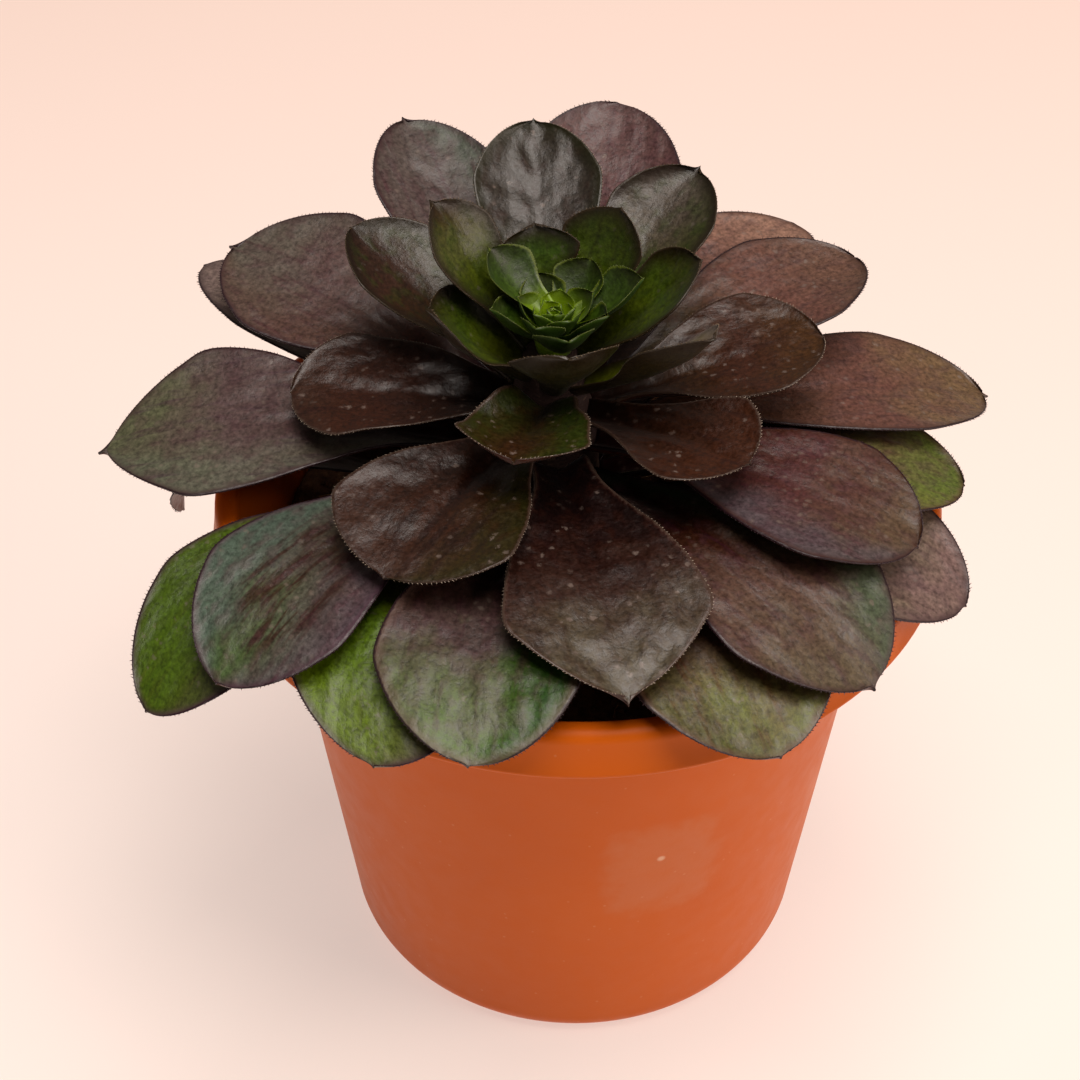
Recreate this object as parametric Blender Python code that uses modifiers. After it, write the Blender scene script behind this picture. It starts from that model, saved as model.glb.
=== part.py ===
"""A potted semponium: one dark rosette on a short stem, in a 13 cm plastic nursery pot.

The pot's foot stands on z = 0 and its axis is the z axis. The front of the plant looks along -Y.
Every leaf is a spoon: a midrib drawn as one cubic curve from the stem to the tip, a width along
it, and a thickness that fades towards the margin. The leaves are laid from the lowest to the
highest, and each is lifted until it lies clear of what is under it.
"""

import math
import random
from dataclasses import dataclass

import bmesh
import bpy
from mathutils import Matrix, Vector
from mathutils.bvhtree import BVHTree

MM = 0.001
CLEARANCE = 0.3 * MM
MERGE_DISTANCE = 0.0001
SHARP_ANGLE = math.radians(40)

# Pot, a moulded 13 cm nursery pot with a hanging skirt round its lip
POT_HEIGHT = 104 * MM
POT_SKIRT_RADIUS = 65 * MM
POT_SKIRT_BOTTOM = 95.2 * MM
POT_LIP_OUTER_RADIUS = 64.2 * MM
POT_LIP_INNER_RADIUS = 60 * MM
POT_LIP_ROUND = 2.2 * MM
POT_EDGE = 0.4 * MM
POT_WALL = 1.3 * MM
POT_NECK_RADIUS = 54.6 * MM
POT_NECK_HEIGHT = 94.6 * MM
POT_NECK_STEP = 1.6 * MM
POT_FOOT_RADIUS = 44.5 * MM
POT_FOOT_ROUND = 5.6 * MM
POT_FLOOR = 1.8 * MM
POT_STEPS = 48
DRAIN_RADIUS = 3.5 * MM
DRAIN_RING = 26 * MM
DRAIN_HOLES = 6
DRAIN_SIDES = 14
DRAIN_FIRST_HEADING = 30
NOTCH_WIDTH = 11 * MM
NOTCH_HEIGHT = 1.0 * MM
NOTCH_LENGTH = 16 * MM
NOTCH_HEADINGS = (-73, 17, 107, 197)

# Soil, a plug that follows the pot's inner wall
SOIL_TOP = 92.5 * MM
SOIL_MOUND = 2.0 * MM
SOIL_MOUND_BULGE = ((0, 1), (0.38, 0.8), (0.72, 0.3))
SOIL_FLOOR_GAP = 0.6 * MM
SOIL_FOOT_BEVEL = 3 * MM
SOIL_EDGE = 2 * MM
SOIL_STEPS = 40

# Stem
STEM_X = -4.8 * MM
STEM_FOOT = 58 * MM
STEM_RADIUS = 8.6 * MM
STEM_TOP_RADIUS = 4.4 * MM
STEM_TOP = 131 * MM
STEM_SHOULDER = 24 * MM
STEM_ROUND = 2 * MM
STEM_RINGS = 8
STEM_STEPS = 24

# Leaves. A share is a length along the midrib as a part of its whole, from the stem to the tip
LEAF_LOWEST_BASE = 96.5 * MM
LEAF_HIGHEST_BASE = 131.0 * MM
LEAF_ROOT_GAP = 1.6 * CLEARANCE
LEAF_HEART_SLOPE = 0.5
LEAF_ROWS_TO_WIDEST = 5
LEAF_ROWS_TO_TIP = 5
LEAF_COLUMNS = (-1.0, -0.55, 0.0, 0.55, 1.0)
LEAF_FULL_WIDTH = 34 * MM
LEAF_WIDEST_AT = 0.74
LEAF_PETIOLE_END = 0.12
LEAF_PETIOLE_HALF_WIDTH = 2.2 * MM
LEAF_PETIOLE_WIDTH_SHARE = 0.05
LEAF_ROOT_NARROWING = 0.2
LEAF_ROOT_END = 0.2
LEAF_TIP_HALF_WIDTH = 0.45 * MM
LEAF_TIP_ROUNDNESS = 2.3
LEAF_TIP_SLENDERNESS = 1.25
LEAF_POINT = 0.30
LEAF_THICKNESS = 2.0 * MM
LEAF_SMALL_THICKNESS_SHARE = 0.62
LEAF_MARGIN_SHARE = 0.40
LEAF_PETIOLE_MARGIN_SHARE = 0.80
LEAF_PETIOLE_FADE_END = 0.5
LEAF_MARGIN_FADE_POWER = 1.5
LEAF_TIP_SHARE = 0.55
LEAF_TIP_FADE_START = 0.7
LEAF_CHANNEL = 0.28
LEAF_CHANNEL_END = 0.45
LEAF_ROLL_END = 0.6
LEAF_HANDLE = 0.36
LEAF_TIP_FALL = 1.3
LEAF_DROOP_HANDLE = 0.002
LEAF_WAVE = (0.3 * MM, 0.8 * MM)
LEAF_WAVE_TURNS = 9
LEAF_WAVE_SEED = 7
LIFT_STEP = 0.4 * MM
LIFT_TRIES = 60
TRIAL_GROWTH = 1.1
FOOT_STEP = 0.25 * MM
FOOT_ZONE = 21 * MM

# Heart, an open rosette of small leaves round the growing point
HEART_LEAVES = 18
HEART_X = STEM_X + 0.6 * MM
HEART_FOOT = STEM_TOP + CLEARANCE
HEART_CORE_RADIUS = 3.8 * MM
HEART_CORE_HEIGHT = 6.0 * MM
HEART_CORE_PROFILE = ((0, 1), (0.5, 0.8), (0.9, 0.35), (0.8, 0), (0, 0))
HEART_CORE_STEPS = 16
HEART_REACH = 13.6 * MM
HEART_REACH_FALL = 1.25
HEART_BUD_REACH = 0.9 * MM
HEART_TIP_HEIGHT = 142 * MM
HEART_BUD_HEIGHT = 139 * MM
HEART_WIDTH = 11.0 * MM
HEART_BUD_WIDTH = 3.0 * MM
HEART_THICKNESS = 1.1 * MM
HEART_ARCH = -14
HEART_CUP = 0.5
HEART_POINT = 0.35
HEART_HEADING = 5
HEART_ROWS = (0.0, 0.2, 0.42, 0.62, 0.8, 0.93, 1.0)
HEART_FOOT_SHARES = (0.25, 0.8)
HEART_ROOT_SHARE = 0.45
GOLDEN_ANGLE = 137.5


@dataclass(frozen=True)
class Leaf:
    """One leaf as it grows: angles in degrees, lengths in millimetres."""

    name: str
    heading: float
    reach: float
    height: float
    width: float
    arch: float
    cup: float
    tint: str
    roll: float = 0.0
    sweep: float = 0.0
    point: float = LEAF_POINT
    droop: float = 0.0


@dataclass(frozen=True)
class Blade:
    """A blade's form across its midrib: lengths in metres, angles in degrees."""

    width: float
    cup: float
    roll: float
    sweep: float
    point: float
    wave: float
    phase: float


# From the lowest leaf to the highest. Heading 0 is +X and -90 faces the front.
LEAVES = (
    Leaf("leaf_hanging_left", 174, 68.3, 85.5, 22, 29, 0.10, "ageing", 0, 0, 0.6, 49),
    Leaf("leaf_hidden_back_right", 60, 72, 100, 32, 18, 0.08, "outer"),
    Leaf("leaf_low_left_green", -141.5, 83.5, 98, 31, 24, 0.05, "green", 0, 10),
    Leaf("leaf_low_front_green", -112, 74, 98, 36, 22, 0.05, "green", 0, 12),
    Leaf("leaf_low_right", -25, 76, 99, 33, 24, 0.05, "outer"),
    Leaf("leaf_hidden_back_left", 112, 74, 100, 32, 18, 0.08, "outer"),
    Leaf("leaf_low_back_left", 143, 82.5, 115, 22, 6, 0.08, "outer"),
    Leaf("leaf_front_right", -62, 75, 102, 36, 22, 0.05, "outer", 0, -3),
    Leaf("leaf_front_left", -100, 73.5, 102, 33, 20, 0.05, "outer", 0, 4),
    Leaf("leaf_right", -6, 72, 105, 33, 18, 0.05, "outer", -4),
    Leaf("leaf_hidden_back", 80, 74, 104, 32, 16, 0.08, "outer"),
    Leaf("leaf_left_front", -134, 76, 103, 32, 18, 0.05, "outer", 0, 8),
    Leaf("leaf_right_front", -47, 74, 102, 33, 24, 0.05, "outer"),
    Leaf("leaf_back_right", 50, 73, 120, 30, 10, 0.12, "rosy"),
    Leaf("leaf_left", 179, 78, 109, 35, 17, 0.08, "outer", -8, 0, 0.6),
    Leaf("leaf_right_upper", 13, 81, 107.5, 31, 14, 0.08, "rosy"),
    Leaf("leaf_hidden_back_upper", 100, 72, 114, 30, 10, 0.12, "outer"),
    Leaf("leaf_front", -80, 65, 113, 33, 14, 0.08, "dark", 0, 0, 0.6),
    Leaf("leaf_right_middle", -27, 67, 107, 32, 14, 0.08, "outer"),
    Leaf("leaf_left_back", 144, 72, 124, 32, 8, 0.12, "outer", -12),
    Leaf("leaf_back_right_upper", 33, 67, 125, 28, 8, 0.15, "rosy"),
    Leaf("leaf_back", 79, 68, 140, 29, 0, 0.20, "outer"),
    Leaf("leaf_back_left_upper", 114, 66, 140, 24, 0, 0.20, "outer"),
    Leaf("leaf_dark_left_front", -122, 50, 118, 34, 10, 0.12, "dark"),
    Leaf("leaf_dark_right", 11, 48, 127, 29, 4, 0.18, "dark"),
    Leaf("leaf_dark_left", 176, 45, 120, 26, 6, 0.15, "dark", -6),
    Leaf("leaf_dark_right_front", -37, 40, 126, 25, 4, 0.15, "dark"),
    Leaf("leaf_back_inner", 93, 53, 144, 23, -4, 0.25, "dark"),
    Leaf("leaf_inner_left", 147, 41, 141, 21, -4, 0.30, "inner"),
    Leaf("leaf_inner_back_right", 53, 43, 145, 21, -6, 0.30, "inner"),
    Leaf("leaf_dark_front", -102, 29, 130, 22, 0, 0.20, "dark"),
    Leaf("leaf_cup_right_front", -27, 29, 143, 18, -6, 0.25, "inner", -20),
    Leaf("leaf_cup_right", 10, 25, 146, 17, -6, 0.25, "inner"),
    Leaf("leaf_cup_front", -80, 16, 141, 18, -6, 0.28, "inner"),
    Leaf("leaf_cup_left", -174, 20, 141, 18, -6, 0.28, "inner"),
    Leaf("leaf_cup_back_left", 147, 23, 152, 16, -6, 0.25, "inner"),
    Leaf("leaf_cup_back_right", 50, 18, 150, 16, -6, 0.25, "inner"),
    Leaf("leaf_cup_back", 101, 13.4, 147, 14, -4, 0.25, "inner"),
)

# Colour as the eye sees it, and roughness
FINISHES = {
    "terracotta_plastic": ("#BE5220", 0.42),
    "peat_soil": ("#1C1714", 0.95),
    "corky_stem": ("#553F30", 0.8),
    "outer": ("#58504F", 0.38),
    "green": ("#4F6530", 0.38),
    "ageing": ("#695445", 0.5),
    "rosy": ("#654946", 0.38),
    "dark": ("#38241F", 0.32),
    "inner": ("#24341A", 0.32),
    "heart": ("#305D1A", 0.32),
}


def clear_scene():
    """Removes what the startup scene holds."""
    for obj in list(bpy.data.objects):
        bpy.data.objects.remove(obj, do_unlink=True)


def make_collection(name):
    """A new collection in the scene."""
    collection = bpy.data.collections.new(name)
    bpy.context.scene.collection.children.link(collection)
    return collection


def linear_colour(code):
    """A colour code's red, green and blue as linear light, with full opacity."""
    channels = [int(code[start : start + 2], 16) / 255 for start in (1, 3, 5)]
    linear = [
        channel / 12.92 if channel <= 0.04045 else ((channel + 0.055) / 1.055) ** 2.4
        for channel in channels
    ]
    return (*linear, 1.0)


def make_material(name, finish):
    """A Principled material with the finish's colour and roughness."""
    code, roughness = FINISHES[finish]
    material = bpy.data.materials.new(name)
    material.use_nodes = True
    shader = material.node_tree.nodes["Principled BSDF"]
    shader.inputs["Base Color"].default_value = linear_colour(code)
    shader.inputs["Roughness"].default_value = roughness
    shader.inputs["Metallic"].default_value = 0.0
    material.diffuse_color = linear_colour(code)
    return material


def make_object(name, bm, collection, finish):
    """Turns a bmesh into a named object, with its own material and smooth shading if it shows."""
    mesh = bpy.data.meshes.new(name)
    bm.to_mesh(mesh)
    bm.free()
    obj = bpy.data.objects.new(name, mesh)
    collection.objects.link(obj)
    if finish:
        mesh.materials.append(make_material(name, finish))
        mesh.shade_smooth()
        mesh.set_sharp_from_angle(angle=SHARP_ANGLE)
    return obj


def make_turned(name, profile, steps, collection, finish):
    """A closed turned shape from (radius, height) points that run down its outer side."""
    bm = bmesh.new()
    points = [bm.verts.new((radius, 0, height)) for radius, height in profile]
    for first, second in zip(points, points[1:]):
        bm.edges.new((first, second))
    obj = make_object(name, bm, collection, finish)
    screw = obj.modifiers.new("turned", "SCREW")
    screw.steps = steps
    screw.render_steps = steps
    screw.use_merge_vertices = True
    screw.merge_threshold = MERGE_DISTANCE
    screw.use_smooth_shade = True
    return obj


def make_cutter(name, bm, collection):
    """A hidden solid that only a Boolean reads."""
    cutter = make_object(name, bm, collection, None)
    cutter.hide_render = True
    cutter.display_type = "WIRE"
    return cutter


def arc(centre_radius, centre_height, radius, start, end, count):
    """Profile points on a circle, angles in degrees from the outward radius, counted upwards."""
    points = []
    for step in range(count + 1):
        angle = math.radians(start + (end - start) * step / count)
        points.append(
            (centre_radius + radius * math.cos(angle), centre_height + radius * math.sin(angle))
        )
    return points


def wall_radius(height):
    """The pot wall's outer radius between its foot and its neck."""
    return POT_FOOT_RADIUS + (POT_NECK_RADIUS - POT_FOOT_RADIUS) * height / POT_NECK_HEIGHT


def pot_profile():
    """From the floor's centre up the inside, over the lip, and down the skirt, neck and foot."""
    foot_centre = wall_radius(POT_FOOT_ROUND) - POT_FOOT_ROUND
    lip_height = POT_HEIGHT - POT_LIP_ROUND
    under_lip = lip_height - POT_WALL
    skirt_inner = POT_SKIRT_RADIUS - POT_WALL
    step_height = POT_NECK_HEIGHT + POT_NECK_STEP
    inner_foot = arc(foot_centre, POT_FOOT_ROUND, POT_FOOT_ROUND - POT_FLOOR, -90, 0, 3)
    inside = [
        (POT_NECK_RADIUS - POT_WALL, POT_NECK_HEIGHT + POT_EDGE),
        (POT_NECK_RADIUS, step_height + 2 * POT_EDGE),
        (POT_LIP_INNER_RADIUS, lip_height),
        (POT_LIP_INNER_RADIUS + POT_EDGE, POT_HEIGHT - POT_EDGE),
    ]
    lip = arc(POT_LIP_OUTER_RADIUS - POT_LIP_ROUND, lip_height, POT_LIP_ROUND, 90, 0, 3)
    skirt = [
        (POT_SKIRT_RADIUS, POT_SKIRT_BOTTOM + POT_EDGE),
        (POT_SKIRT_RADIUS - POT_EDGE, POT_SKIRT_BOTTOM),
        (skirt_inner, POT_SKIRT_BOTTOM),
        (skirt_inner - 2 * POT_EDGE, under_lip),
        (POT_LIP_INNER_RADIUS + POT_WALL, under_lip),
    ]
    neck = [
        (POT_NECK_RADIUS + POT_WALL, step_height),
        (POT_NECK_RADIUS, POT_NECK_HEIGHT),
    ]
    foot = arc(foot_centre, POT_FOOT_ROUND, POT_FOOT_ROUND, 0, -90, 4)
    return [(0, POT_FLOOR)] + inner_foot + inside + lip + skirt + neck + foot + [(0, 0)]


def make_drain_cutters(cutters):
    """Cylinders through the floor, on a ring that leaves its centre whole."""
    for hole in range(DRAIN_HOLES):
        bm = bmesh.new()
        bmesh.ops.create_cone(
            bm,
            cap_ends=True,
            segments=DRAIN_SIDES,
            radius1=DRAIN_RADIUS,
            radius2=DRAIN_RADIUS,
            depth=2 * (POT_FLOOR + DRAIN_RADIUS),
        )
        angle = math.radians(DRAIN_FIRST_HEADING + 360 * hole / DRAIN_HOLES)
        place = Vector((DRAIN_RING * math.cos(angle), DRAIN_RING * math.sin(angle), 0))
        bmesh.ops.translate(bm, verts=bm.verts, vec=place)
        make_cutter(f"drain_cutter_{hole}", bm, cutters)


def make_notch_cutters(cutters):
    """Blocks under the foot's edge, for the four low notches that let water out."""
    for index, heading in enumerate(NOTCH_HEADINGS):
        bm = bmesh.new()
        bmesh.ops.create_cube(bm, size=1)
        size = Vector((NOTCH_LENGTH, NOTCH_WIDTH, 2 * NOTCH_HEIGHT))
        bmesh.ops.scale(bm, verts=bm.verts, vec=size)
        bmesh.ops.translate(bm, verts=bm.verts, vec=Vector((POT_FOOT_RADIUS, 0, 0)))
        turn = Matrix.Rotation(math.radians(heading), 3, "Z")
        bmesh.ops.rotate(bm, verts=bm.verts, matrix=turn)
        make_cutter(f"notch_cutter_{index}", bm, cutters)


def make_pot(collection, cutters):
    """The pot, with drain holes in its floor and drainage notches under its foot."""
    pot = make_turned("pot", pot_profile(), POT_STEPS, collection, "terracotta_plastic")
    make_drain_cutters(cutters)
    make_notch_cutters(cutters)
    cut = pot.modifiers.new("drainage", "BOOLEAN")
    cut.operation = "DIFFERENCE"
    cut.operand_type = "COLLECTION"
    cut.collection = cutters
    return pot


def make_soil(collection, cutters):
    """The peat, heaped a little towards the stem, with a plain hole for the stem."""
    gap = CLEARANCE + POT_WALL
    edge_radius = wall_radius(SOIL_TOP) - gap
    foot_radius = wall_radius(POT_FOOT_ROUND) - gap - POT_EDGE
    bottom = POT_FLOOR + SOIL_FLOOR_GAP
    mound = [
        (edge_radius * across, SOIL_TOP + SOIL_MOUND * up) for across, up in SOIL_MOUND_BULGE
    ]
    profile = mound + [
        (edge_radius - SOIL_EDGE, SOIL_TOP),
        (edge_radius, SOIL_TOP - SOIL_EDGE / 2),
        (foot_radius, POT_FOOT_ROUND),
        (foot_radius - SOIL_FOOT_BEVEL, bottom),
        (0, bottom),
    ]
    soil = make_turned("soil", profile, SOIL_STEPS, collection, "peat_soil")
    bm = bmesh.new()
    depth = POT_HEIGHT - STEM_FOOT
    radius = STEM_RADIUS + CLEARANCE
    bmesh.ops.create_cone(
        bm, cap_ends=True, segments=STEM_STEPS, radius1=radius, radius2=radius, depth=depth
    )
    place = Vector((STEM_X, 0, STEM_FOOT - CLEARANCE + depth / 2))
    bmesh.ops.translate(bm, verts=bm.verts, vec=place)
    cut = soil.modifiers.new("stem hole", "BOOLEAN")
    cut.operation = "DIFFERENCE"
    cut.object = make_cutter("stem_hole_cutter", bm, cutters)


def stem_radius(height):
    """The stem's radius, even in the soil and narrowing through its shoulder to the top."""
    below_top = min(1.0, max(0.0, (STEM_TOP - height) / STEM_SHOULDER))
    return STEM_TOP_RADIUS + (STEM_RADIUS - STEM_TOP_RADIUS) * math.sin(below_top * math.pi / 2)


def make_stem(collection):
    """The short thick stem that the leaves grow from."""
    profile = [(0, STEM_TOP), (STEM_TOP_RADIUS - 2 * CLEARANCE, STEM_TOP)]
    for ring in range(1, STEM_RINGS + 1):
        height = STEM_TOP - STEM_SHOULDER * ring / STEM_RINGS
        profile.append((stem_radius(height), height))
    profile.append((STEM_RADIUS, STEM_FOOT + STEM_ROUND))
    profile.append((STEM_RADIUS - STEM_ROUND, STEM_FOOT))
    profile.append((0, STEM_FOOT))
    stem = make_turned("stem", profile, STEM_STEPS, collection, "corky_stem")
    stem.location.x = STEM_X


def cubic(points, share):
    """A point of the cubic curve with these four control points."""
    rest = 1 - share
    return (
        points[0] * rest**3
        + points[1] * 3 * rest**2 * share
        + points[2] * 3 * rest * share**2
        + points[3] * share**3
    )


def cubic_slope(points, share):
    """The direction of the cubic curve there."""
    rest = 1 - share
    slope = (
        (points[1] - points[0]) * rest**2
        + (points[2] - points[1]) * 2 * rest * share
        + (points[3] - points[2]) * share**2
    )
    return slope.normalized()


def midrib(base, tip, arch, droop=0.0):
    """Control points of a midrib that starts arch degrees above its chord and ends below it."""
    chord = tip - base
    pitch = math.atan2(chord.z, chord.x)
    rising = pitch + math.radians(arch)
    falling = pitch - math.radians(LEAF_TIP_FALL * arch + droop)
    start = Vector((math.cos(rising), 0, math.sin(rising)))
    end = Vector((math.cos(falling), 0, math.sin(falling)))
    handle = chord.length * (LEAF_HANDLE + LEAF_DROOP_HANDLE * droop)
    return [base, base + start * handle, tip - end * handle, tip]


def smooth_step(value):
    """0 to 1 with flat ends."""
    value = min(1.0, max(0.0, value))
    return value * value * (3 - 2 * value)


def half_width(share, blade):
    """Half of the blade's width: a narrow petiole, a spoon, and a small point at the tip."""
    root = 1 - LEAF_ROOT_NARROWING * (1 - smooth_step(share / LEAF_ROOT_END))
    petiole = (LEAF_PETIOLE_HALF_WIDTH + LEAF_PETIOLE_WIDTH_SHARE * blade.width) * root
    widest = blade.width / 2
    if share <= LEAF_WIDEST_AT:
        rise = smooth_step((share - LEAF_PETIOLE_END) / (LEAF_WIDEST_AT - LEAF_PETIOLE_END))
        return petiole + (widest - petiole) * rise
    past = (share - LEAF_WIDEST_AT) / (1 - LEAF_WIDEST_AT)
    rounded = math.sqrt(max(0.0, 1 - past**LEAF_TIP_ROUNDNESS))
    pointed = 1 - past**LEAF_TIP_SLENDERNESS
    tip = (1 - blade.point) * rounded + blade.point * pointed
    return max(LEAF_TIP_HALF_WIDTH, widest * tip)


def leaf_rows():
    """Shares of the midrib at which the blade has a row of points, closer towards the tip."""
    rows = [LEAF_WIDEST_AT * step / LEAF_ROWS_TO_WIDEST for step in range(LEAF_ROWS_TO_WIDEST)]
    for step in range(LEAF_ROWS_TO_TIP + 1):
        turn = math.pi / 2 * step / LEAF_ROWS_TO_TIP
        rows.append(LEAF_WIDEST_AT + (1 - LEAF_WIDEST_AT) * math.sin(turn))
    return rows


def thickness_share(share, column):
    """How thick the blade is there, as a part of its full thickness: less at margin and tip."""
    petiole = 1 - smooth_step(share / LEAF_PETIOLE_FADE_END)
    margin = LEAF_MARGIN_SHARE + (LEAF_PETIOLE_MARGIN_SHARE - LEAF_MARGIN_SHARE) * petiole
    fade = 1 - (1 - margin) * abs(column) ** LEAF_MARGIN_FADE_POWER
    towards_tip = smooth_step((share - LEAF_TIP_FADE_START) / (1 - LEAF_TIP_FADE_START))
    return fade * (1 - (1 - LEAF_TIP_SHARE) * towards_tip)


def leaf_sheet(curve, blade, rows):
    """The blade's upper face as rows of points, and the share of the full thickness at each."""
    points = []
    shares = []
    side = Vector((0, 1, 0))
    for share in rows:
        centre = cubic(curve, share)
        along = cubic_slope(curve, share)
        up = Vector((-along.z, 0, along.x))
        turn = Matrix.Rotation(math.radians(blade.roll) * smooth_step(share / LEAF_ROLL_END), 3, along)
        bend = Matrix.Rotation(math.radians(blade.sweep) * (share * share - 1), 3, "Z")
        half = half_width(share, blade)
        channel = blade.cup + LEAF_CHANNEL * (1 - smooth_step(share / LEAF_CHANNEL_END))
        for column in LEAF_COLUMNS:
            wave = blade.wave * math.sin(blade.phase + LEAF_WAVE_TURNS * share + 2 * column)
            rise = (half * channel + wave) * column * column
            points.append(bend @ (centre + turn @ (side * (half * column) + up * rise)))
            shares.append(thickness_share(share, column))
    return points, shares


def sheet_faces(bm, verts):
    """Joins rows of points by quads, and splits them so that both faces of the blade match."""
    columns = len(LEAF_COLUMNS)
    for start in range(0, len(verts) - columns, columns):
        for column in range(columns - 1):
            corner = start + column
            bm.faces.new(
                (verts[corner], verts[corner + columns], verts[corner + columns + 1], verts[corner + 1])
            )
    bmesh.ops.triangulate(bm, faces=bm.faces, quad_method="SHORT_EDGE")
    bmesh.ops.recalc_face_normals(bm, faces=bm.faces)
    if sum(face.normal.z for face in bm.faces) < 0:
        bmesh.ops.reverse_faces(bm, faces=bm.faces)


def make_blade(name, sheet, thickness, collection, finish):
    """A sheet of points as an object whose wall Solidify makes below it, thinner at the margin."""
    points, shares = sheet
    bm = bmesh.new()
    sheet_faces(bm, [bm.verts.new(point) for point in points])
    obj = make_object(name, bm, collection, finish)
    group = obj.vertex_groups.new(name="thickness")
    for index, share in enumerate(shares):
        group.add([index], share, "REPLACE")
    solidify = obj.modifiers.new("blade", "SOLIDIFY")
    solidify.thickness = thickness
    solidify.offset = -1
    solidify.vertex_group = group.name
    solidify.thickness_vertex_group = 0
    return obj


def evaluated_tree(obj):
    """A search tree of an object's finished faces in world space."""
    bpy.context.view_layer.update()
    evaluated = obj.evaluated_get(bpy.context.evaluated_depsgraph_get())
    mesh = evaluated.to_mesh()
    points = [obj.matrix_world @ vertex.co for vertex in mesh.vertices]
    faces = [tuple(polygon.vertices) for polygon in mesh.polygons]
    evaluated.to_mesh_clear()
    return BVHTree.FromPolygons(points, faces)


def trial_tree(sheet, thickness, heading, centre_x=STEM_X):
    """The blade with the clearance added all round, at its heading: a search tree of its faces,
    and each face's distance from the stem's axis."""
    points, shares = sheet
    bm = bmesh.new()
    verts = [bm.verts.new(point) for point in points]
    sheet_faces(bm, verts)
    bm.normal_update()
    place = Matrix.Translation((centre_x, 0, 0)) @ Matrix.Rotation(math.radians(heading), 4, "Z")
    grow = CLEARANCE * TRIAL_GROWTH
    upper = [place @ (vert.co + vert.normal * grow) for vert in verts]
    lower = [
        place @ (vert.co - vert.normal * (thickness * share + grow))
        for vert, share in zip(verts, shares)
    ]
    count = len(verts)
    faces = [tuple(vert.index for vert in face.verts) for face in bm.faces]
    under = [tuple(index + count for index in reversed(face)) for face in faces]
    rim = []
    for edge in bm.edges:
        if edge.is_boundary:
            first, second = (vert.index for vert in edge.verts)
            rim.append((first, second, second + count, first + count))
    bm.free()
    corners = upper + lower
    polygons = faces + under + rim
    distances = []
    for polygon in polygons:
        centre = sum((corners[index] for index in polygon), Vector()) / len(polygon)
        distances.append(math.hypot(centre.x - STEM_X, centre.y))
    return BVHTree.FromPolygons(corners, polygons), distances


def leaf_thickness(leaf):
    """Small inner leaves are thinner than the large outer ones."""
    size = min(1.0, leaf.width * MM / LEAF_FULL_WIDTH)
    return LEAF_THICKNESS * (LEAF_SMALL_THICKNESS_SHARE + (1 - LEAF_SMALL_THICKNESS_SHARE) * size)


def leaf_curve(leaf, foot, lift):
    """The midrib of a leaf whose base is at this height and whose tip has been lifted."""
    beside_heart = LEAF_HEART_SLOPE * max(0.0, foot - STEM_TOP)
    base = Vector((stem_radius(foot) + LEAF_ROOT_GAP + beside_heart, 0, foot))
    tip = Vector((leaf.reach * MM, 0, leaf.height * MM + lift))
    return midrib(base, tip, leaf.arch, leaf.droop)


def lay_leaf(leaf, foot, blade, rows, trees):
    """The leaf's sheet, with its base moved up the stem and its tip lifted until it lies clear."""
    thickness = leaf_thickness(leaf)
    lift = 0.0
    for _ in range(LIFT_TRIES):
        sheet = leaf_sheet(leaf_curve(leaf, foot, lift), blade, rows)
        trial, distances = trial_tree(sheet, thickness, leaf.heading)
        touched = [distances[pair[0]] for tree in trees for pair in trial.overlap(tree)]
        if not touched:
            break
        if min(touched) < FOOT_ZONE:
            foot += FOOT_STEP
        if max(touched) >= FOOT_ZONE:
            lift += LIFT_STEP
    return sheet


def make_leaves(collection, pot):
    """Lays the leaves from the lowest to the highest, each clear of the pot and of those laid, and
    gives the search trees of all of them."""
    chance = random.Random(LEAF_WAVE_SEED)
    rows = leaf_rows()
    trees = [evaluated_tree(pot)]
    for rank, leaf in enumerate(LEAVES):
        rise = rank / (len(LEAVES) - 1)
        foot = LEAF_LOWEST_BASE + (LEAF_HIGHEST_BASE - LEAF_LOWEST_BASE) * rise
        width = leaf.width * MM
        wave = chance.uniform(*LEAF_WAVE) * width / LEAF_FULL_WIDTH
        phase = chance.uniform(0, 2 * math.pi)
        blade = Blade(width, leaf.cup, leaf.roll, leaf.sweep, leaf.point, wave, phase)
        sheet = lay_leaf(leaf, foot, blade, rows, trees)
        obj = make_blade(leaf.name, sheet, leaf_thickness(leaf), collection, leaf.tint)
        obj.location.x = STEM_X
        obj.rotation_euler.z = math.radians(leaf.heading)
        trees.append(evaluated_tree(obj))
    return trees


def heart_leaf_curve(inward, lift):
    """The midrib of one small leaf of the heart, shorter and steeper towards the growing point."""
    reach = HEART_REACH * (1 - inward) ** HEART_REACH_FALL + HEART_BUD_REACH
    lowest, highest = HEART_FOOT_SHARES
    foot = HEART_FOOT + HEART_CORE_HEIGHT * (lowest + (highest - lowest) * inward) + lift
    root = HEART_ROOT_SHARE * HEART_CORE_RADIUS * (1 - inward) + CLEARANCE
    height = HEART_TIP_HEIGHT + (HEART_BUD_HEIGHT - HEART_TIP_HEIGHT) * inward + lift
    return midrib(Vector((root, 0, foot)), Vector((reach, 0, height)), HEART_ARCH)


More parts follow.
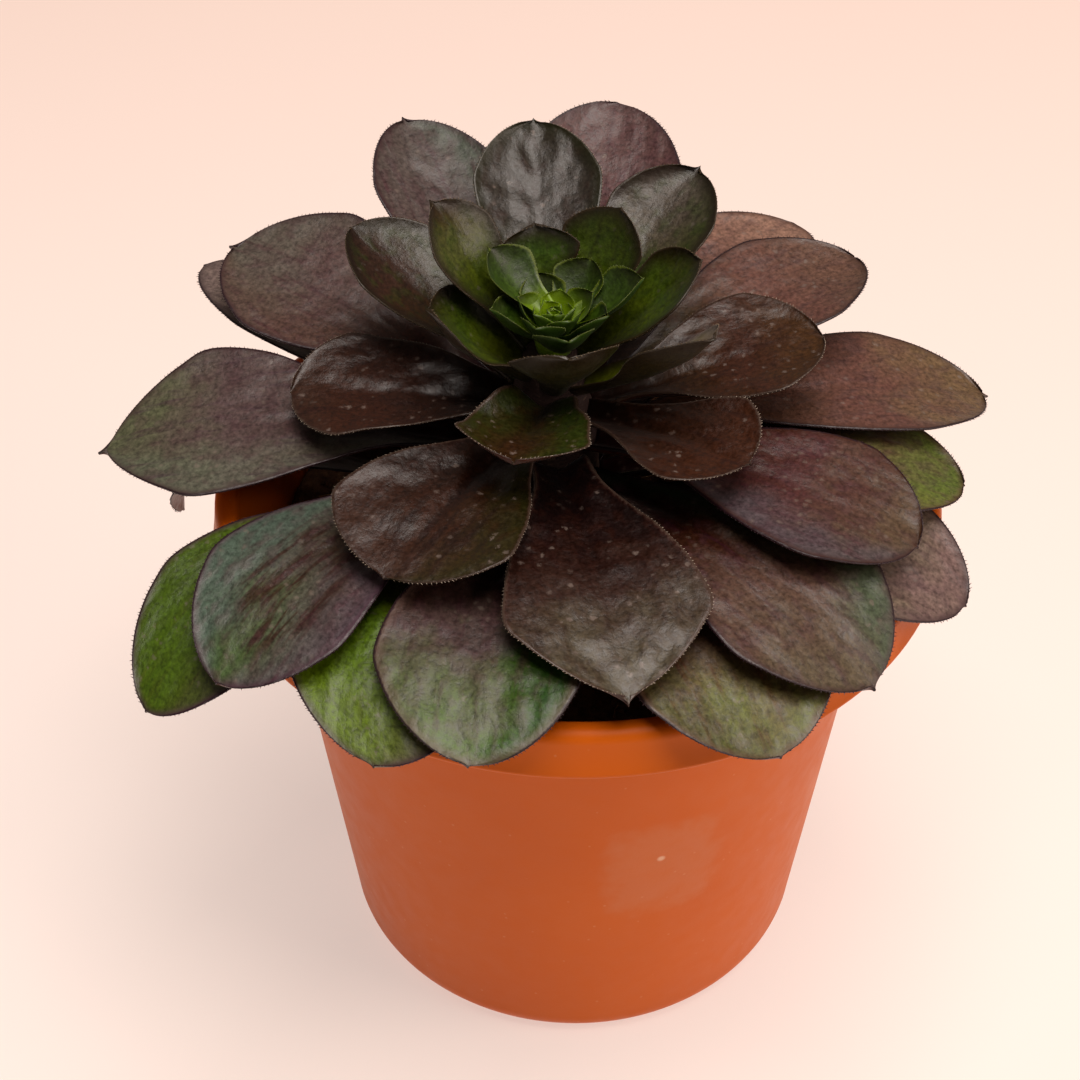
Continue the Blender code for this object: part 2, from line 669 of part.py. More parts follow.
def make_heart_leaves(scraps, trees):
    """The heart's small cupped leaves, each turned by the golden angle from the one before, and
    lifted until it lies clear of the large leaves."""
    for index in range(HEART_LEAVES):
        inward = index / (HEART_LEAVES - 1)
        heading = HEART_HEADING + GOLDEN_ANGLE * index
        width = HEART_WIDTH + (HEART_BUD_WIDTH - HEART_WIDTH) * inward
        blade = Blade(width, HEART_CUP, 0, 0, HEART_POINT, 0, 0)
        for step in range(LIFT_TRIES):
            sheet = leaf_sheet(heart_leaf_curve(inward, step * FOOT_STEP), blade, HEART_ROWS)
            trial, _ = trial_tree(sheet, HEART_THICKNESS, heading, HEART_X)
            if not any(trial.overlap(tree) for tree in trees):
                break
        scrap = make_blade(f"heart_leaf_{index}", sheet, HEART_THICKNESS, scraps, None)
        scrap.location.x = HEART_X
        scrap.rotation_euler.z = math.radians(heading)


def outer_shell(bm):
    """The faces that hang together with the one that lies furthest out."""
    start = max(bm.faces, key=lambda face: face.calc_center_median().length)
    shell = {start}
    unspread = [start]
    while unspread:
        face = unspread.pop()
        fresh = {other for edge in face.edges for other in edge.link_faces} - shell
        shell |= fresh
        unspread.extend(fresh)
    return shell


def fill_pockets(mesh):
    """Removes a mesh's inner shells, so the pockets closed in between the leaflets are solid."""
    bm = bmesh.new()
    bm.from_mesh(mesh)
    shell = outer_shell(bm)
    pockets = [face for face in bm.faces if face not in shell]
    bmesh.ops.delete(bm, geom=pockets, context="FACES")
    bm.to_mesh(mesh)
    bm.free()


def make_heart(collection, trees):
    """The growing point: small cupped leaves on a spiral, joined in one with their core."""
    core = [
        (HEART_CORE_RADIUS * across, HEART_FOOT + HEART_CORE_HEIGHT * up)
        for across, up in HEART_CORE_PROFILE
    ]
    heart = make_turned("heart", core, HEART_CORE_STEPS, collection, "heart")
    heart.location.x = HEART_X
    scraps = make_collection("heart leaves")
    make_heart_leaves(scraps, trees)
    union = heart.modifiers.new("joined", "BOOLEAN")
    union.operation = "UNION"
    union.operand_type = "COLLECTION"
    union.collection = scraps
    bpy.context.view_layer.update()
    evaluated = heart.evaluated_get(bpy.context.evaluated_depsgraph_get())
    joined = bpy.data.meshes.new_from_object(evaluated)
    heart.modifiers.clear()
    heart.data = joined
    fill_pockets(joined)
    for scrap in list(scraps.objects):
        bpy.data.objects.remove(scrap, do_unlink=True)
    bpy.data.collections.remove(scraps)


def main():
    """Builds the pot, the soil, the stem, the leaves and the heart."""
    clear_scene()
    parts = make_collection("potted semponium")
    pot = make_pot(parts, make_collection("pot cutters"))
    make_soil(parts, make_collection("soil cutters"))
    make_stem(parts)
    make_heart(parts, make_leaves(parts, pot))


if __name__ == "__main__":
    main()
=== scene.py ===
"""The looks of a potted semponium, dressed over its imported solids.

One dark rosette stands on a short stem in a 13 cm plastic nursery pot. Every leaf is read from its
solid as rows of points and made again as a finer closed blade with wrinkles, a rounded margin and
short bristles. The pot, the soil, the stem and the heart are made again where their solids are.
Lengths are in metres, the pot stands on z = 0, and the front of the plant looks along -Y.
"""

import logging
import math
import random
from collections.abc import Iterator, Mapping, Sequence
from dataclasses import dataclass, field, replace
from enum import Enum

import bmesh
import bpy
import numpy as np
from mathutils import Matrix, Vector, noise
from mathutils.bvhtree import BVHTree


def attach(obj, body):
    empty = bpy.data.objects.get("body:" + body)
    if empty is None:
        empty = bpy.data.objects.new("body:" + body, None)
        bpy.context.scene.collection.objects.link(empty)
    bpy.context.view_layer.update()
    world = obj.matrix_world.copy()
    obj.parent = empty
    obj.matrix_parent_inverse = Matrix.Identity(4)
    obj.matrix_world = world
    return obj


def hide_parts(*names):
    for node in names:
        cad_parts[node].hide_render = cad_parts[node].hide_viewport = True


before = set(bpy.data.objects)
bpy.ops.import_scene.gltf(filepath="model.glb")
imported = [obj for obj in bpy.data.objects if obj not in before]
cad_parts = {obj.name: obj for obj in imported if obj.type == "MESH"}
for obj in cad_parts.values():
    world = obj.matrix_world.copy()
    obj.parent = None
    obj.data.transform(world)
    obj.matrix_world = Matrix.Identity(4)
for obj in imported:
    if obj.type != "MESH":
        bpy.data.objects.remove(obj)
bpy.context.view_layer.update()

LOG = logging.getLogger("semponium")
MM = 0.001
MERGE = 0.01 * MM
TINY = 1e-12
BODY = "root"

Point = tuple[float, float, float]
Profile = list[tuple[float, float]]
Tint = tuple[str, float]
Layer = tuple[bpy.types.NodeSocket, float, float, Tint, bool]

# Places that the pieces share, as the solids have them
STEM_X = -4.8 * MM
STEM_TOP = 131 * MM
HEART_X = -4.2 * MM
POT_NECK_RADIUS = 54.6 * MM
POT_NECK_HEIGHT = 94.6 * MM
POT_FOOT_RADIUS = 44.5 * MM
POT_FOOT_ROUND = 5.6 * MM
POT_WALL = 1.3 * MM
POT_FLOOR = 1.8 * MM
GOLDEN_ANGLE = 137.5

# The rows of a leaf's solid: even steps to its widest row, then steps by the sine of a turn
SOLID_ROWS = 11
SOLID_COLUMNS = (-1.0, -0.55, 0.0, 0.55, 1.0)
RING = 2 * len(SOLID_COLUMNS)
WIDEST_ROW = 5
WIDEST_SHARE = 0.74
TIP_TURN = math.radians(90 / (SOLID_ROWS - 1 - WIDEST_ROW))
ROW_TURNS = (0, 10, -10, 20, -20, 30, -30, 40, -40)


def linear(code: str) -> tuple[float, float, float, float]:
    """Turns an sRGB hex code to linear light.

    Args:
        code: The colour as #RRGGBB.

    Returns:
        Red, green and blue as linear light, and full opacity.
    """
    channels = [int(code[start : start + 2], 16) / 255 for start in (1, 3, 5)]
    light = [part / 12.92 if part <= 0.04045 else ((part + 0.055) / 1.055) ** 2.4 for part in channels]
    return (*light, 1.0)


def fill_inputs(tree: bpy.types.NodeTree, node: bpy.types.Node, inputs: Mapping[int | str, object]) -> None:
    """Gives a node's inputs their values and links.

    Args:
        tree: The node's tree.
        node: The node.
        inputs: Values, hex codes or output sockets, by the input's name or number.
    """
    for key, value in inputs.items():
        if isinstance(value, bpy.types.NodeSocket):
            tree.links.new(value, node.inputs[key])
        else:
            node.inputs[key].default_value = linear(value) if isinstance(value, str) else value


def add_node(
    tree: bpy.types.NodeTree,
    kind: str,
    inputs: Mapping[int | str, object] | Sequence[object] = (),
    stops: Sequence[tuple[float, str]] = (),
    **settings: object,
) -> bpy.types.bpy_prop_collection:
    """Adds a shader node with its settings, values and links.

    Args:
        tree: The material's node tree.
        kind: The node's type name, without the ShaderNode at its start.
        inputs: As fill_inputs takes them, or only the first ones in their order.
        stops: Positions and hex codes of a colour ramp, in rising order.
        settings: The node's own properties.

    Returns:
        The node's outputs.
    """
    node = tree.nodes.new(f"ShaderNode{kind}")
    for name, value in settings.items():
        setattr(node, name, value)
    fill_inputs(tree, node, inputs if isinstance(inputs, Mapping) else dict(enumerate(inputs)))
    for index, (position, code) in enumerate(stops):
        elements = node.color_ramp.elements
        element = elements[index] if index < 2 else elements.new(position)
        element.position = position
        element.color = linear(code)
    return node.outputs


def lay_tints(
    tree: bpy.types.NodeTree, colour: bpy.types.NodeSocket | str, *layers: Layer
) -> bpy.types.NodeSocket:
    """Lays tints over a colour, the first one lowest.

    Args:
        tree: The material's node tree.
        colour: The colour that they lie on.
        layers: Each tint's source, where it begins and where it is full, its hex code with its
            greatest share, and whether its edge is soft.

    Returns:
        The colour with its tints.
    """
    for source, start, full, (code, share), soft in layers:
        kind = "SMOOTHSTEP" if soft else "LINEAR"
        mask = add_node(tree, "MapRange", (source, start, full, 0.0, share), interpolation_type=kind)[0]
        colour = add_node(tree, "Mix", {0: mask, 6: colour, 7: code}, data_type="RGBA")[2]
    return colour


def new_material(name: str) -> tuple[bpy.types.Material, bpy.types.NodeTree, bpy.types.Node]:
    """Makes a material with nodes.

    Args:
        name: The finish's name.

    Returns:
        The material, its node tree and its Principled shader.
    """
    material = bpy.data.materials.new(name)
    material.use_nodes = True
    return material, material.node_tree, material.node_tree.nodes["Principled BSDF"]


def smooth_step(value: float, low: float = 0.0, high: float = 1.0) -> float:
    """Rises from 0 at low to 1 at high with flat ends."""
    share = min(1.0, max(0.0, (value - low) / (high - low)))
    return share * share * (3 - 2 * share)


def link_mesh(name: str, bm: bmesh.types.BMesh) -> bpy.types.Object:
    """Turns a bmesh into a linked object.

    Args:
        name: The object's name.
        bm: The finished bmesh, which is freed.

    Returns:
        The object.
    """
    mesh = bpy.data.meshes.new(name)
    bm.to_mesh(mesh)
    bm.free()
    obj = bpy.data.objects.new(name, mesh)
    bpy.context.scene.collection.objects.link(obj)
    return obj


def finish_piece(
    name: str, bm: bmesh.types.BMesh, material: bpy.types.Material, slot: str, *nodes: str
) -> bpy.types.Object:
    """Turns a bmesh into a piece that rides on the body and stands for its nodes.

    Args:
        name: The piece's name.
        bm: The finished bmesh, which is freed.
        material: The piece's material.
        slot: The name of a material slot in the record; not used.
        nodes: The solids that the piece replaces.

    Returns:
        The piece's object.
    """
    piece = link_mesh(name, bm)
    piece.data.materials.append(material)
    piece.data.shade_smooth()
    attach(piece, BODY)
    if nodes:
        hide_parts(*nodes)
    return piece


def mesh_tree(mesh: bpy.types.Mesh) -> BVHTree:
    """Makes a search tree of a mesh."""
    faces = [tuple(face.vertices) for face in mesh.polygons]
    return BVHTree.FromPolygons([vert.co for vert in mesh.vertices], faces)


def spin_profile(profile: Profile, steps: int, centre_x: float = 0.0) -> bmesh.types.BMesh:
    """Spins a profile of radius and height round a vertical axis into a closed shape.

    Args:
        profile: Points from the axis round the shape and back to the axis.
        steps: The number of steps of the full turn.
        centre_x: Where the axis stands.

    Returns:
        The closed bmesh, its faces pointing outwards.
    """
    bm = bmesh.new()
    points = [bm.verts.new((radius, 0, height)) for radius, height in profile]
    edges = [bm.edges.new(pair) for pair in zip(points, points[1:])]
    bmesh.ops.spin(
        bm, geom=points + edges, axis=(0, 0, 1), cent=(0, 0, 0), steps=steps, angle=math.tau, use_merge=True
    )
    bmesh.ops.remove_doubles(bm, verts=bm.verts, dist=MERGE)
    bmesh.ops.recalc_face_normals(bm, faces=bm.faces)
    bmesh.ops.translate(bm, verts=bm.verts, vec=(centre_x, 0, 0))
    return bm


def arc(centre: tuple[float, float], radius: float, start: float, end: float, count: int) -> Profile:
    """Walks a circle's arc as profile points.

    Args:
        centre: The arc's centre as radius and height.
        radius: The arc's own radius.
        start: The first angle in degrees from the outward radius, counted upwards.
        end: The last angle.
        count: The number of steps.

    Returns:
        The points as radius and height.
    """
    turns = [math.radians(start + (end - start) * step / count) for step in range(count + 1)]
    return [(centre[0] + radius * math.cos(turn), centre[1] + radius * math.sin(turn)) for turn in turns]


def wall_radius(height: float) -> float:
    """The pot wall's outer radius between its foot and its neck."""
    return POT_FOOT_RADIUS + (POT_NECK_RADIUS - POT_FOOT_RADIUS) * height / POT_NECK_HEIGHT


class LeafKind(Enum):
    """The kinds of leaf, each by the name of a material slot in the record."""

    OUTER = "leaf_outer"
    GREEN = "leaf_green"
    AGEING = "leaf_ageing"
    ROSY = "leaf_rosy"
    DARK = "leaf_dark"
    INNER = "leaf_inner"
    HEART = "leaf_heart"


# Stretch, detail and roughness of the skin's patterns, on mm across and along the blade: clouds of
# pigment 8 to 12 mm wide, streaks 1.5 mm wide and 20 mm long, flecks and blisters of 2 to 4 mm, and
# a grain of 0.4 to 0.8 mm, which is a little coarser than real pores so that it shows
SKIN_PATTERNS = (
    ((0.11, 0.11, 0.11), 3.0, 0.55),
    ((0.55, 0.07, 1.0), 4.0, 0.6),
    ((0.42, 0.3, 1.0), 1.5, 0.5),
    ((1.15, 1.15, 1.15), 3.0, 0.7),
)


@dataclass(frozen=True)
class LeafFinish:
    """Living succulent leaf skin: a waxy cuticle over pigment that changes along the blade.

    The first four colours run from the stem to the tip; the dark petiole colour is partly the leaf's own
    maroon and partly painted shade where the leaves overlap at the stem. Left and right are as seen from
    the stem.
    A tint is a colour with its greatest share, and depth is the pigment's saturation and value.
    """

    kind: LeafKind
    petiole: str
    shoulder: str
    middle: str
    end: str
    left: Tint = ("#4A4A3A", 0.0)
    right: Tint = ("#4A4A3A", 0.0)
    blotch: Tint = ("#2A1810", 0.0)
    fleck: Tint = ("#3A2A26", 0.35)
    streak: Tint = ("#2E1C22", 0.45)
    speck: Tint = ("#A89C94", 0.25)
    margin: Tint = ("#3A2A2C", 0.7)
    young: Tint = ("#7C9E0A", 0.0)
    margin_width: float = 1.6
    rim: str = "#22141A"
    under: str = "#4A2C22"
    bristle: str = "#3A2A30"
    depth: tuple[float, float] = (1.5, 0.82)
    roughness: float = 0.4
    wrinkle: float = 0.24
    bristle_length: float = 0.45

    def material(self, name: str) -> bpy.types.Material:
        """Makes the skin's material.

        Args:
            name: The leaf's name.

        Returns:
            The material, on the blade's own attributes.
        """
        material, tree, shader = new_material(f"waxy_leaf_{name}")
        soft = {"interpolation_type": "SMOOTHSTEP"}
        # place holds across from -1 to 1, along from 0 to 1, and the distance from the margin in mm
        place = add_node(tree, "Attribute", attribute_name="place")["Vector"]
        across, along, edge = add_node(tree, "SeparateXYZ", (place,))
        # blade holds mm across and along the blade, and its face: 1 above, -1 below
        blade = add_node(tree, "Attribute", attribute_name="blade")["Vector"]
        face = add_node(tree, "SeparateXYZ", (blade,))[2]
        patterns = []
        for stretch, detail, rough in SKIN_PATTERNS:
            fitted = add_node(tree, "Mapping", {0: blade, "Scale": stretch})[0]
            values = {0: fitted, "Scale": 1.0, "Detail": detail, "Roughness": rough}
            patterns.append(add_node(tree, "TexNoise", values)["Fac"])
        cloud, streaks, flecks, grain = patterns
        drift = add_node(tree, "MapRange", (cloud, 0.3, 0.7, -0.1, 0.1))[0]
        shifted = add_node(tree, "Math", (along, drift), operation="ADD")[0]
        # The dark petiole colour is partly the leaf's own maroon and partly painted shade where the leaves
        # overlap at the stem
        zones = ((0.08, self.petiole), (0.42, self.shoulder), (0.66, self.middle), (0.93, self.end))
        colour = add_node(tree, "ValToRGB", (shifted,), zones)[0]
        wander = add_node(tree, "Math", (drift, 2.2, across), operation="MULTIPLY_ADD")[0]
        inner = add_node(tree, "MapRange", (edge, 4.0, 9.0), **soft)[0]
        patches = add_node(tree, "MapRange", (streaks, 0.42, 0.58), **soft)[0]
        blotches = add_node(tree, "Math", (inner, patches), operation="MULTIPLY")[0]
        colour = lay_tints(
            tree,
            colour,
            (wander, 0.05, 0.85, self.left, True),
            (wander, -0.05, -0.85, self.right, True),
            (blotches, 0.0, 1.0, self.blotch, False),
            (flecks, 0.46, 0.66, self.fleck, True),
            (streaks, 0.5, 0.72, self.streak, True),
        )
        mottle = add_node(tree, "MapRange", (grain, 0.32, 0.68, 0.58, 1.5))[0]
        colour = add_node(tree, "VectorMath", {0: colour, "Scale": mottle}, operation="SCALE")[0]
        # Pale specks are hair roots and water marks about 0.3 mm across
        cells = add_node(tree, "TexVoronoi", {0: blade, "Scale": 0.42})["Distance"]
        uneven = add_node(tree, "Math", (grain, 0.9, cells), operation="MULTIPLY_ADD")[0]
        dots = add_node(tree, "MapRange", (uneven, 0.72, 0.48), **soft)[0]
        thinned = add_node(tree, "MapRange", (cloud, 0.42, 0.58), **soft)[0]
        specks = add_node(tree, "Math", (dots, thinned), operation="MULTIPLY")[0]
        frayed = add_node(tree, "Math", (grain, -1.2, edge), operation="MULTIPLY_ADD")[0]
        # Young skin is paler and greener within 7 mm of the growing point's axis
        where = add_node(tree, "TexCoord")["Object"]
        level = add_node(tree, "VectorMath", (where, (1.0, 1.0, 0.0)), operation="MULTIPLY")[0]
        away = add_node(tree, "VectorMath", (level, (HEART_X, 0.0, 0.0)), operation="DISTANCE")[1]
        # The bristles' points have a margin distance of -2 mm
        colour = lay_tints(
            tree,
            colour,
            (specks, 0.0, 1.0, self.speck, False),
            (frayed, self.margin_width - 0.5, -0.6, self.margin, True),
            (frayed, -0.1, -0.5, (self.rim, 0.9), True),
            (away, 7 * MM, 2.5 * MM, self.young, True),
            (face, -0.3, -0.7, (self.under, 0.85), False),
            (edge, -1.4, -1.6, (self.bristle, 1.0), False),
        )
        # Wax over the skin adds grey in the light, so the pigment is deeper than the leaf looks
        pigment = {"Color": colour, "Saturation": self.depth[0], "Value": self.depth[1]}
        relief = add_node(tree, "Math", (streaks, 0.45, grain), operation="MULTIPLY_ADD")[0]
        blisters = add_node(tree, "Math", (flecks, 3.0, relief), operation="MULTIPLY_ADD")[0]
        bumps = {"Strength": 0.36, "Distance": 0.3 * MM, "Height": blisters}
        gloss = (grain, 0.3, 0.7, self.roughness - 0.08, self.roughness + 0.12)
        fill_inputs(tree, shader, {
            "Base Color": add_node(tree, "HueSaturation", pigment)[0],
            "Normal": add_node(tree, "Bump", bumps)[0],
            "Roughness": add_node(tree, "MapRange", gloss)[0],
            "IOR": 1.42,
            "Coat Weight": 0.12,
            "Coat Roughness": 0.3,
            "Sheen Weight": 0.03,
            "Sheen Roughness": 0.4,
            "Sheen Tint": "#DCE2E6",
        })
        return material


OUTER = LeafFinish(
    LeafKind.OUTER, "#2E1614", "#483534", "#5C4C4C", "#605A50",
    fleck=("#463438", 0.35), streak=("#3A1E26", 0.45), under="#50302A",
)
GREEN = LeafFinish(
    LeafKind.GREEN, "#3A2412", "#4E3A1C", "#48661A", "#5A6A2A",
    fleck=("#3E4A20", 0.35), streak=("#4A3A22", 0.25), margin=("#43283A", 0.7), rim="#2A1420",
    under="#4F4A22", depth=(1.25, 0.85),
)
AGEING = LeafFinish(
    LeafKind.AGEING, "#3A2418", "#4E382A", "#6A5042", "#7A5E50", under="#6E5244", depth=(1.0, 0.85)
)
ROSY = LeafFinish(
    LeafKind.ROSY, "#33200E", "#4E3428", "#5E3F37", "#66483C",
    fleck=("#4E3A38", 0.35), streak=("#3A2024", 0.45), margin=("#3E2820", 0.7), under="#5A3A2C",
    depth=(1.05, 0.95),
)
DARK = LeafFinish(
    LeafKind.DARK, "#1C0C05", "#2A170F", "#38231B", "#40302A",
    streak=("#200A0A", 0.45), speck=("#A89C96", 0.5), margin=("#2E1E1A", 0.5), margin_width=0.9,
    rim="#4E423C", under="#3E1C12", bristle="#D0C4B8", depth=(1.55, 0.58), roughness=0.36,
    wrinkle=0.28, bristle_length=0.36,
)
INNER = LeafFinish(
    LeafKind.INNER, "#4E540C", "#424E0C", "#36460C", "#2E340E",
    fleck=("#24380A", 0.35), streak=("#1E1A05", 0.45), speck=("#A89C94", 0.15), margin=("#1A0E07", 0.85),
    margin_width=3.4, rim="#2E2416", under="#241A0A", bristle="#7A6A58", depth=(1.2, 0.85),
    roughness=0.36, wrinkle=0.12, bristle_length=0.35,
)
HEART = LeafFinish(
    LeafKind.HEART, "#44580A", "#324808", "#283C08", "#222A0A",
    fleck=("#2E4408", 0.35), streak=("#1A2204", 0.35), speck=("#A89C94", 0.0), margin=("#4A5818", 0.3),
    young=("#7C9E0A", 0.95), margin_width=0.5, rim="#586428", under="#284010", bristle="#7C8658",
    depth=(1.15, 0.85), roughness=0.44, wrinkle=0.06, bristle_length=0.22,
)

# What sets each leaf apart from its kind
FINISHES: dict[str, LeafFinish] = {
    "leaf_hanging_left": AGEING,
    "leaf_low_left_green": replace(
        GREEN, shoulder="#4A3220", middle="#42561A", end="#465E18", left=("#46303A", 0.5)
    ),
    "leaf_low_front_green": replace(
        GREEN, shoulder="#54442A", middle="#566E2C", end="#5E7034", left=("#5A4E46", 0.7)
    ),
    "leaf_low_right": replace(
        OUTER, shoulder="#5A4628", middle="#6C6250", end="#705C58", depth=(1.1, 0.9)
    ),
    "leaf_low_back_left": replace(
        OUTER, shoulder="#524638", middle="#665A4E", end="#70605A", depth=(1.0, 0.95)
    ),
    "leaf_front_right": replace(
        OUTER, shoulder="#3A2620", middle="#5C4C42", end="#5E6242", right=("#4A4A36", 0.6),
        streak=("#46181A", 0.45), margin=("#665650", 0.7),
    ),
    "leaf_front_left": replace(
        OUTER, shoulder="#281A14", middle="#453A38", end="#566644", left=("#1C420C", 0.9),
        margin=("#645550", 0.7), margin_width=2.4,
    ),
    "leaf_right": replace(
        OUTER, middle="#5E4C44", end="#5C6644", right=("#6A704A", 0.7), margin=("#4A3032", 0.7)
    ),
    "leaf_left_front": replace(
        OUTER, shoulder="#4A3A30", middle="#44403A", end="#4A583E", left=("#524850", 0.7),
        right=("#4C5850", 0.9), blotch=("#2A180E", 0.8), margin=("#4A3640", 0.7),
    ),
    "leaf_right_front": replace(
        OUTER, petiole="#140604", shoulder="#2C1A14", middle="#54453F", end="#574F44",
        left=("#3C4C3C", 0.7), streak=("#35202A", 0.45),
    ),
    "leaf_back_right": replace(ROSY, end="#86685A"),
    "leaf_left": replace(
        OUTER, shoulder="#443634", middle="#554A49", end="#5A5C4C", left=("#5C5F55", 0.7),
        streak=("#3C2C36", 0.55),
    ),
    "leaf_right_upper": replace(ROSY, end="#64503A"),
    "leaf_front": replace(
        DARK, petiole="#120404", shoulder="#1D0A07", middle="#3A2B26", end="#565044",
        margin=("#5E4844", 0.45), rim="#5A4E48",
    ),
    "leaf_right_middle": replace(
        OUTER, shoulder="#3A2622", middle="#4B3635", end="#564A40", right=("#504C50", 0.7),
        margin=("#3A241C", 0.7),
    ),
    "leaf_left_back": replace(
        OUTER, shoulder="#4A3A34", middle="#554846", end="#5A5650", left=("#5C4840", 0.4)
    ),
    "leaf_back_right_upper": replace(ROSY, petiole="#34300C", shoulder="#44321E", end="#5C4438"),
    "leaf_back": replace(OUTER, shoulder="#473434", middle="#523F3F", end="#564645"),
    "leaf_back_left_upper": replace(
        OUTER, shoulder="#3E3230", middle="#4C4240", end="#4E4845", right=("#4A544A", 0.7)
    ),
    "leaf_dark_left_front": replace(DARK, left=("#26300E", 0.5), blotch=("#1C100A", 0.6)),
    "leaf_dark_right": replace(DARK, shoulder="#3A281C", middle="#44302A", end="#4A382C"),
    "leaf_dark_left": replace(DARK, shoulder="#301A12", middle="#38221B"),
    "leaf_dark_right_front": replace(DARK, shoulder="#2E1A10", end="#442E26"),
    "leaf_back_inner": replace(
        DARK, shoulder="#2A2A1E", middle="#3A3632", end="#2C2820", margin=("#1C1E08", 0.8),
        margin_width=3.0, rim="#2E2A1A", wrinkle=0.34,
    ),
    "leaf_inner_left": replace(
        INNER, shoulder="#36230F", middle="#38241C", end="#2E1E16", right=("#24300A", 0.6)
    ),
    "leaf_inner_back_right": replace(
        INNER, shoulder="#262E08", middle="#433C30", end="#47403A", right=("#2C3410", 0.6)
    ),
    "leaf_dark_front": replace(
        DARK, petiole="#1E1804", shoulder="#2C2408", middle="#32220E", end="#382618",
        left=("#2E3E0E", 0.8), right=("#2A360E", 0.6),
    ),
    "leaf_cup_right_front": replace(INNER, middle="#4A4610", end="#4C3E1C"),
    "leaf_cup_back_left": replace(INNER, middle="#464A28", end="#32260F"),
    "leaf_cup_back": replace(INNER, middle="#34481A", end="#28300E"),
}
# Leaves that end in a drawn-out point, in mm; the others are rounded
TIP_POINTS = {
    "leaf_left": 2.2,
    "leaf_left_back": 2.0,
    "leaf_front": 1.6,
    "leaf_back_left_upper": 1.6,
    "leaf_inner_back_right": 1.6,
    "leaf_right_upper": 1.6,
    "leaf_back_inner": 1.2,
    "leaf_right_front": 1.0,
    "leaf_cup_back_left": 0.9,
    "leaf_cup_back": 0.9,
}
ROUNDED_TIP = 0.4


def leaf_finish(node: str) -> LeafFinish:
    """The finish of a leaf by its node's name."""
    return FINISHES.get(node, INNER if node.startswith("leaf_cup") else OUTER)


class SolidRows:
    """Reads a leaf's solid as rows of points from the stem to the tip.

    Each row of the solid is a ring of ten points, five above and five below.
    """

    def __init__(self, node: str) -> None:
        """Reads the rows of a node's mesh.

        Args:
            node: The leaf's node.
        """
        self.bm = bmesh.new()
        self.bm.from_mesh(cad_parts[node].data)
        bmesh.ops.remove_doubles(self.bm, verts=self.bm.verts, dist=MERGE)
        rows = self._rows(node)
        rings = {WIDEST_ROW: self._widest_ring(rows[WIDEST_ROW])}
        for index in range(WIDEST_ROW - 1, -1, -1):
            rings[index] = self._matching_ring(rings[index + 1], rows[index])
        for index in range(WIDEST_ROW + 1, SOLID_ROWS):
            rings[index] = self._matching_ring(rings[index - 1], rows[index])
        columns = len(SOLID_COLUMNS)
        ordered = [rings[index] for index in range(SOLID_ROWS)]
        first = np.array([[vert.co for vert in ring[:columns]] for ring in ordered])
        second = np.array([[vert.co for vert in ring[: columns - 1 : -1]] for ring in ordered])
        self.bm.free()
        if np.sum(first[:, :, 2] - second[:, :, 2]) < 0:
            first, second = second, first
        outwards = first[WIDEST_ROW, 2] - first[0, 2]
        side = first[WIDEST_ROW, -1] - first[WIDEST_ROW, 0]
        if outwards[0] * side[1] - outwards[1] * side[0] < 0:
            first, second = first[:, ::-1], second[:, ::-1]
        self.upper = first
        self.lower = second

    def _layers(self, first: list[bmesh.types.BMVert]) -> list[list[bmesh.types.BMVert]]:
        """Walks the mesh from the first points.

        Args:
            first: The points to start from.

        Returns:
            Lists of points, each one edge further from the first.
        """
        layers = [first]
        seen = set(first)
        while layers[-1]:
            layers.append([])
            for vert in layers[-2]:
                for edge in vert.link_edges:
                    other = edge.other_vert(vert)
                    if other not in seen:
                        seen.add(other)
                        layers[-1].append(other)
        return layers[:-1]

    def _rows(self, node: str) -> list[list[bmesh.types.BMVert]]:
        """Finds the rows by trying directions until each row has ten points.

        Args:
            node: The leaf's name, for the message if it has none.

        Returns:
            The points of each row, unordered.
        """
        axis = Vector((STEM_X, 0, 0))
        root = min(self.bm.verts, key=lambda vert: (vert.co - axis).xy.length)
        tip = max(self.bm.verts, key=lambda vert: (vert.co - root.co).length)
        for turn in ROW_TURNS:
            outwards = Matrix.Rotation(math.radians(turn), 3, "Z") @ (tip.co - root.co)
            nearest = sorted(self.bm.verts, key=lambda vert: vert.co.dot(outwards))
            layers = self._layers(nearest[:RING])
            if [len(layer) for layer in layers] == [RING] * SOLID_ROWS:
                return layers
        raise ValueError(f"{node} has no rows of {RING} points")

    def _widest_ring(self, row: list[bmesh.types.BMVert]) -> list[bmesh.types.BMVert]:
        """Orders the widest row round the blade.

        Args:
            row: The row's points, unordered.

        Returns:
            The points in order, starting behind one of the two short steps over the margins.
        """
        ring = [row[0]]
        while len(ring) < len(row):
            others = [edge.other_vert(ring[-1]) for edge in ring[-1].link_edges]
            ring.append(next(vert for vert in others if vert in row and vert not in ring))
        half = len(ring) // 2
        steps = [(vert.co - ring[index - 1].co).length for index, vert in enumerate(ring)]
        start = min(range(half), key=lambda index: steps[index] + steps[index + half])
        return ring[start:] + ring[:start]

    def _matching_ring(
        self, ring: list[bmesh.types.BMVert], row: list[bmesh.types.BMVert]
    ) -> list[bmesh.types.BMVert]:
        """Orders a row like the ring beside it, by the shortest edges between the two.

        Args:
            ring: The ordered neighbour.
            row: The row's points, unordered.

        Returns:
            The row's points, each joined by an edge to the ring's point of the same place.
        """
        best: list[bmesh.types.BMVert] = []
        least = math.inf
        pending = [([], 0.0)]
        while pending:
            chosen, length = pending.pop()
            if length >= least:
                continue
            beside = {edge.other_vert(chosen[-1]) for edge in chosen[-1].link_edges} if chosen else set(row)
            if len(chosen) == len(ring):
                if chosen[0] in beside:
                    best, least = chosen, length
                continue
            source = ring[len(chosen)]
            for edge in source.link_edges:
                other = edge.other_vert(source)
                if other in row and other in beside and other not in chosen:
                    pending.append((chosen + [other], length + edge.calc_length()))
        return best


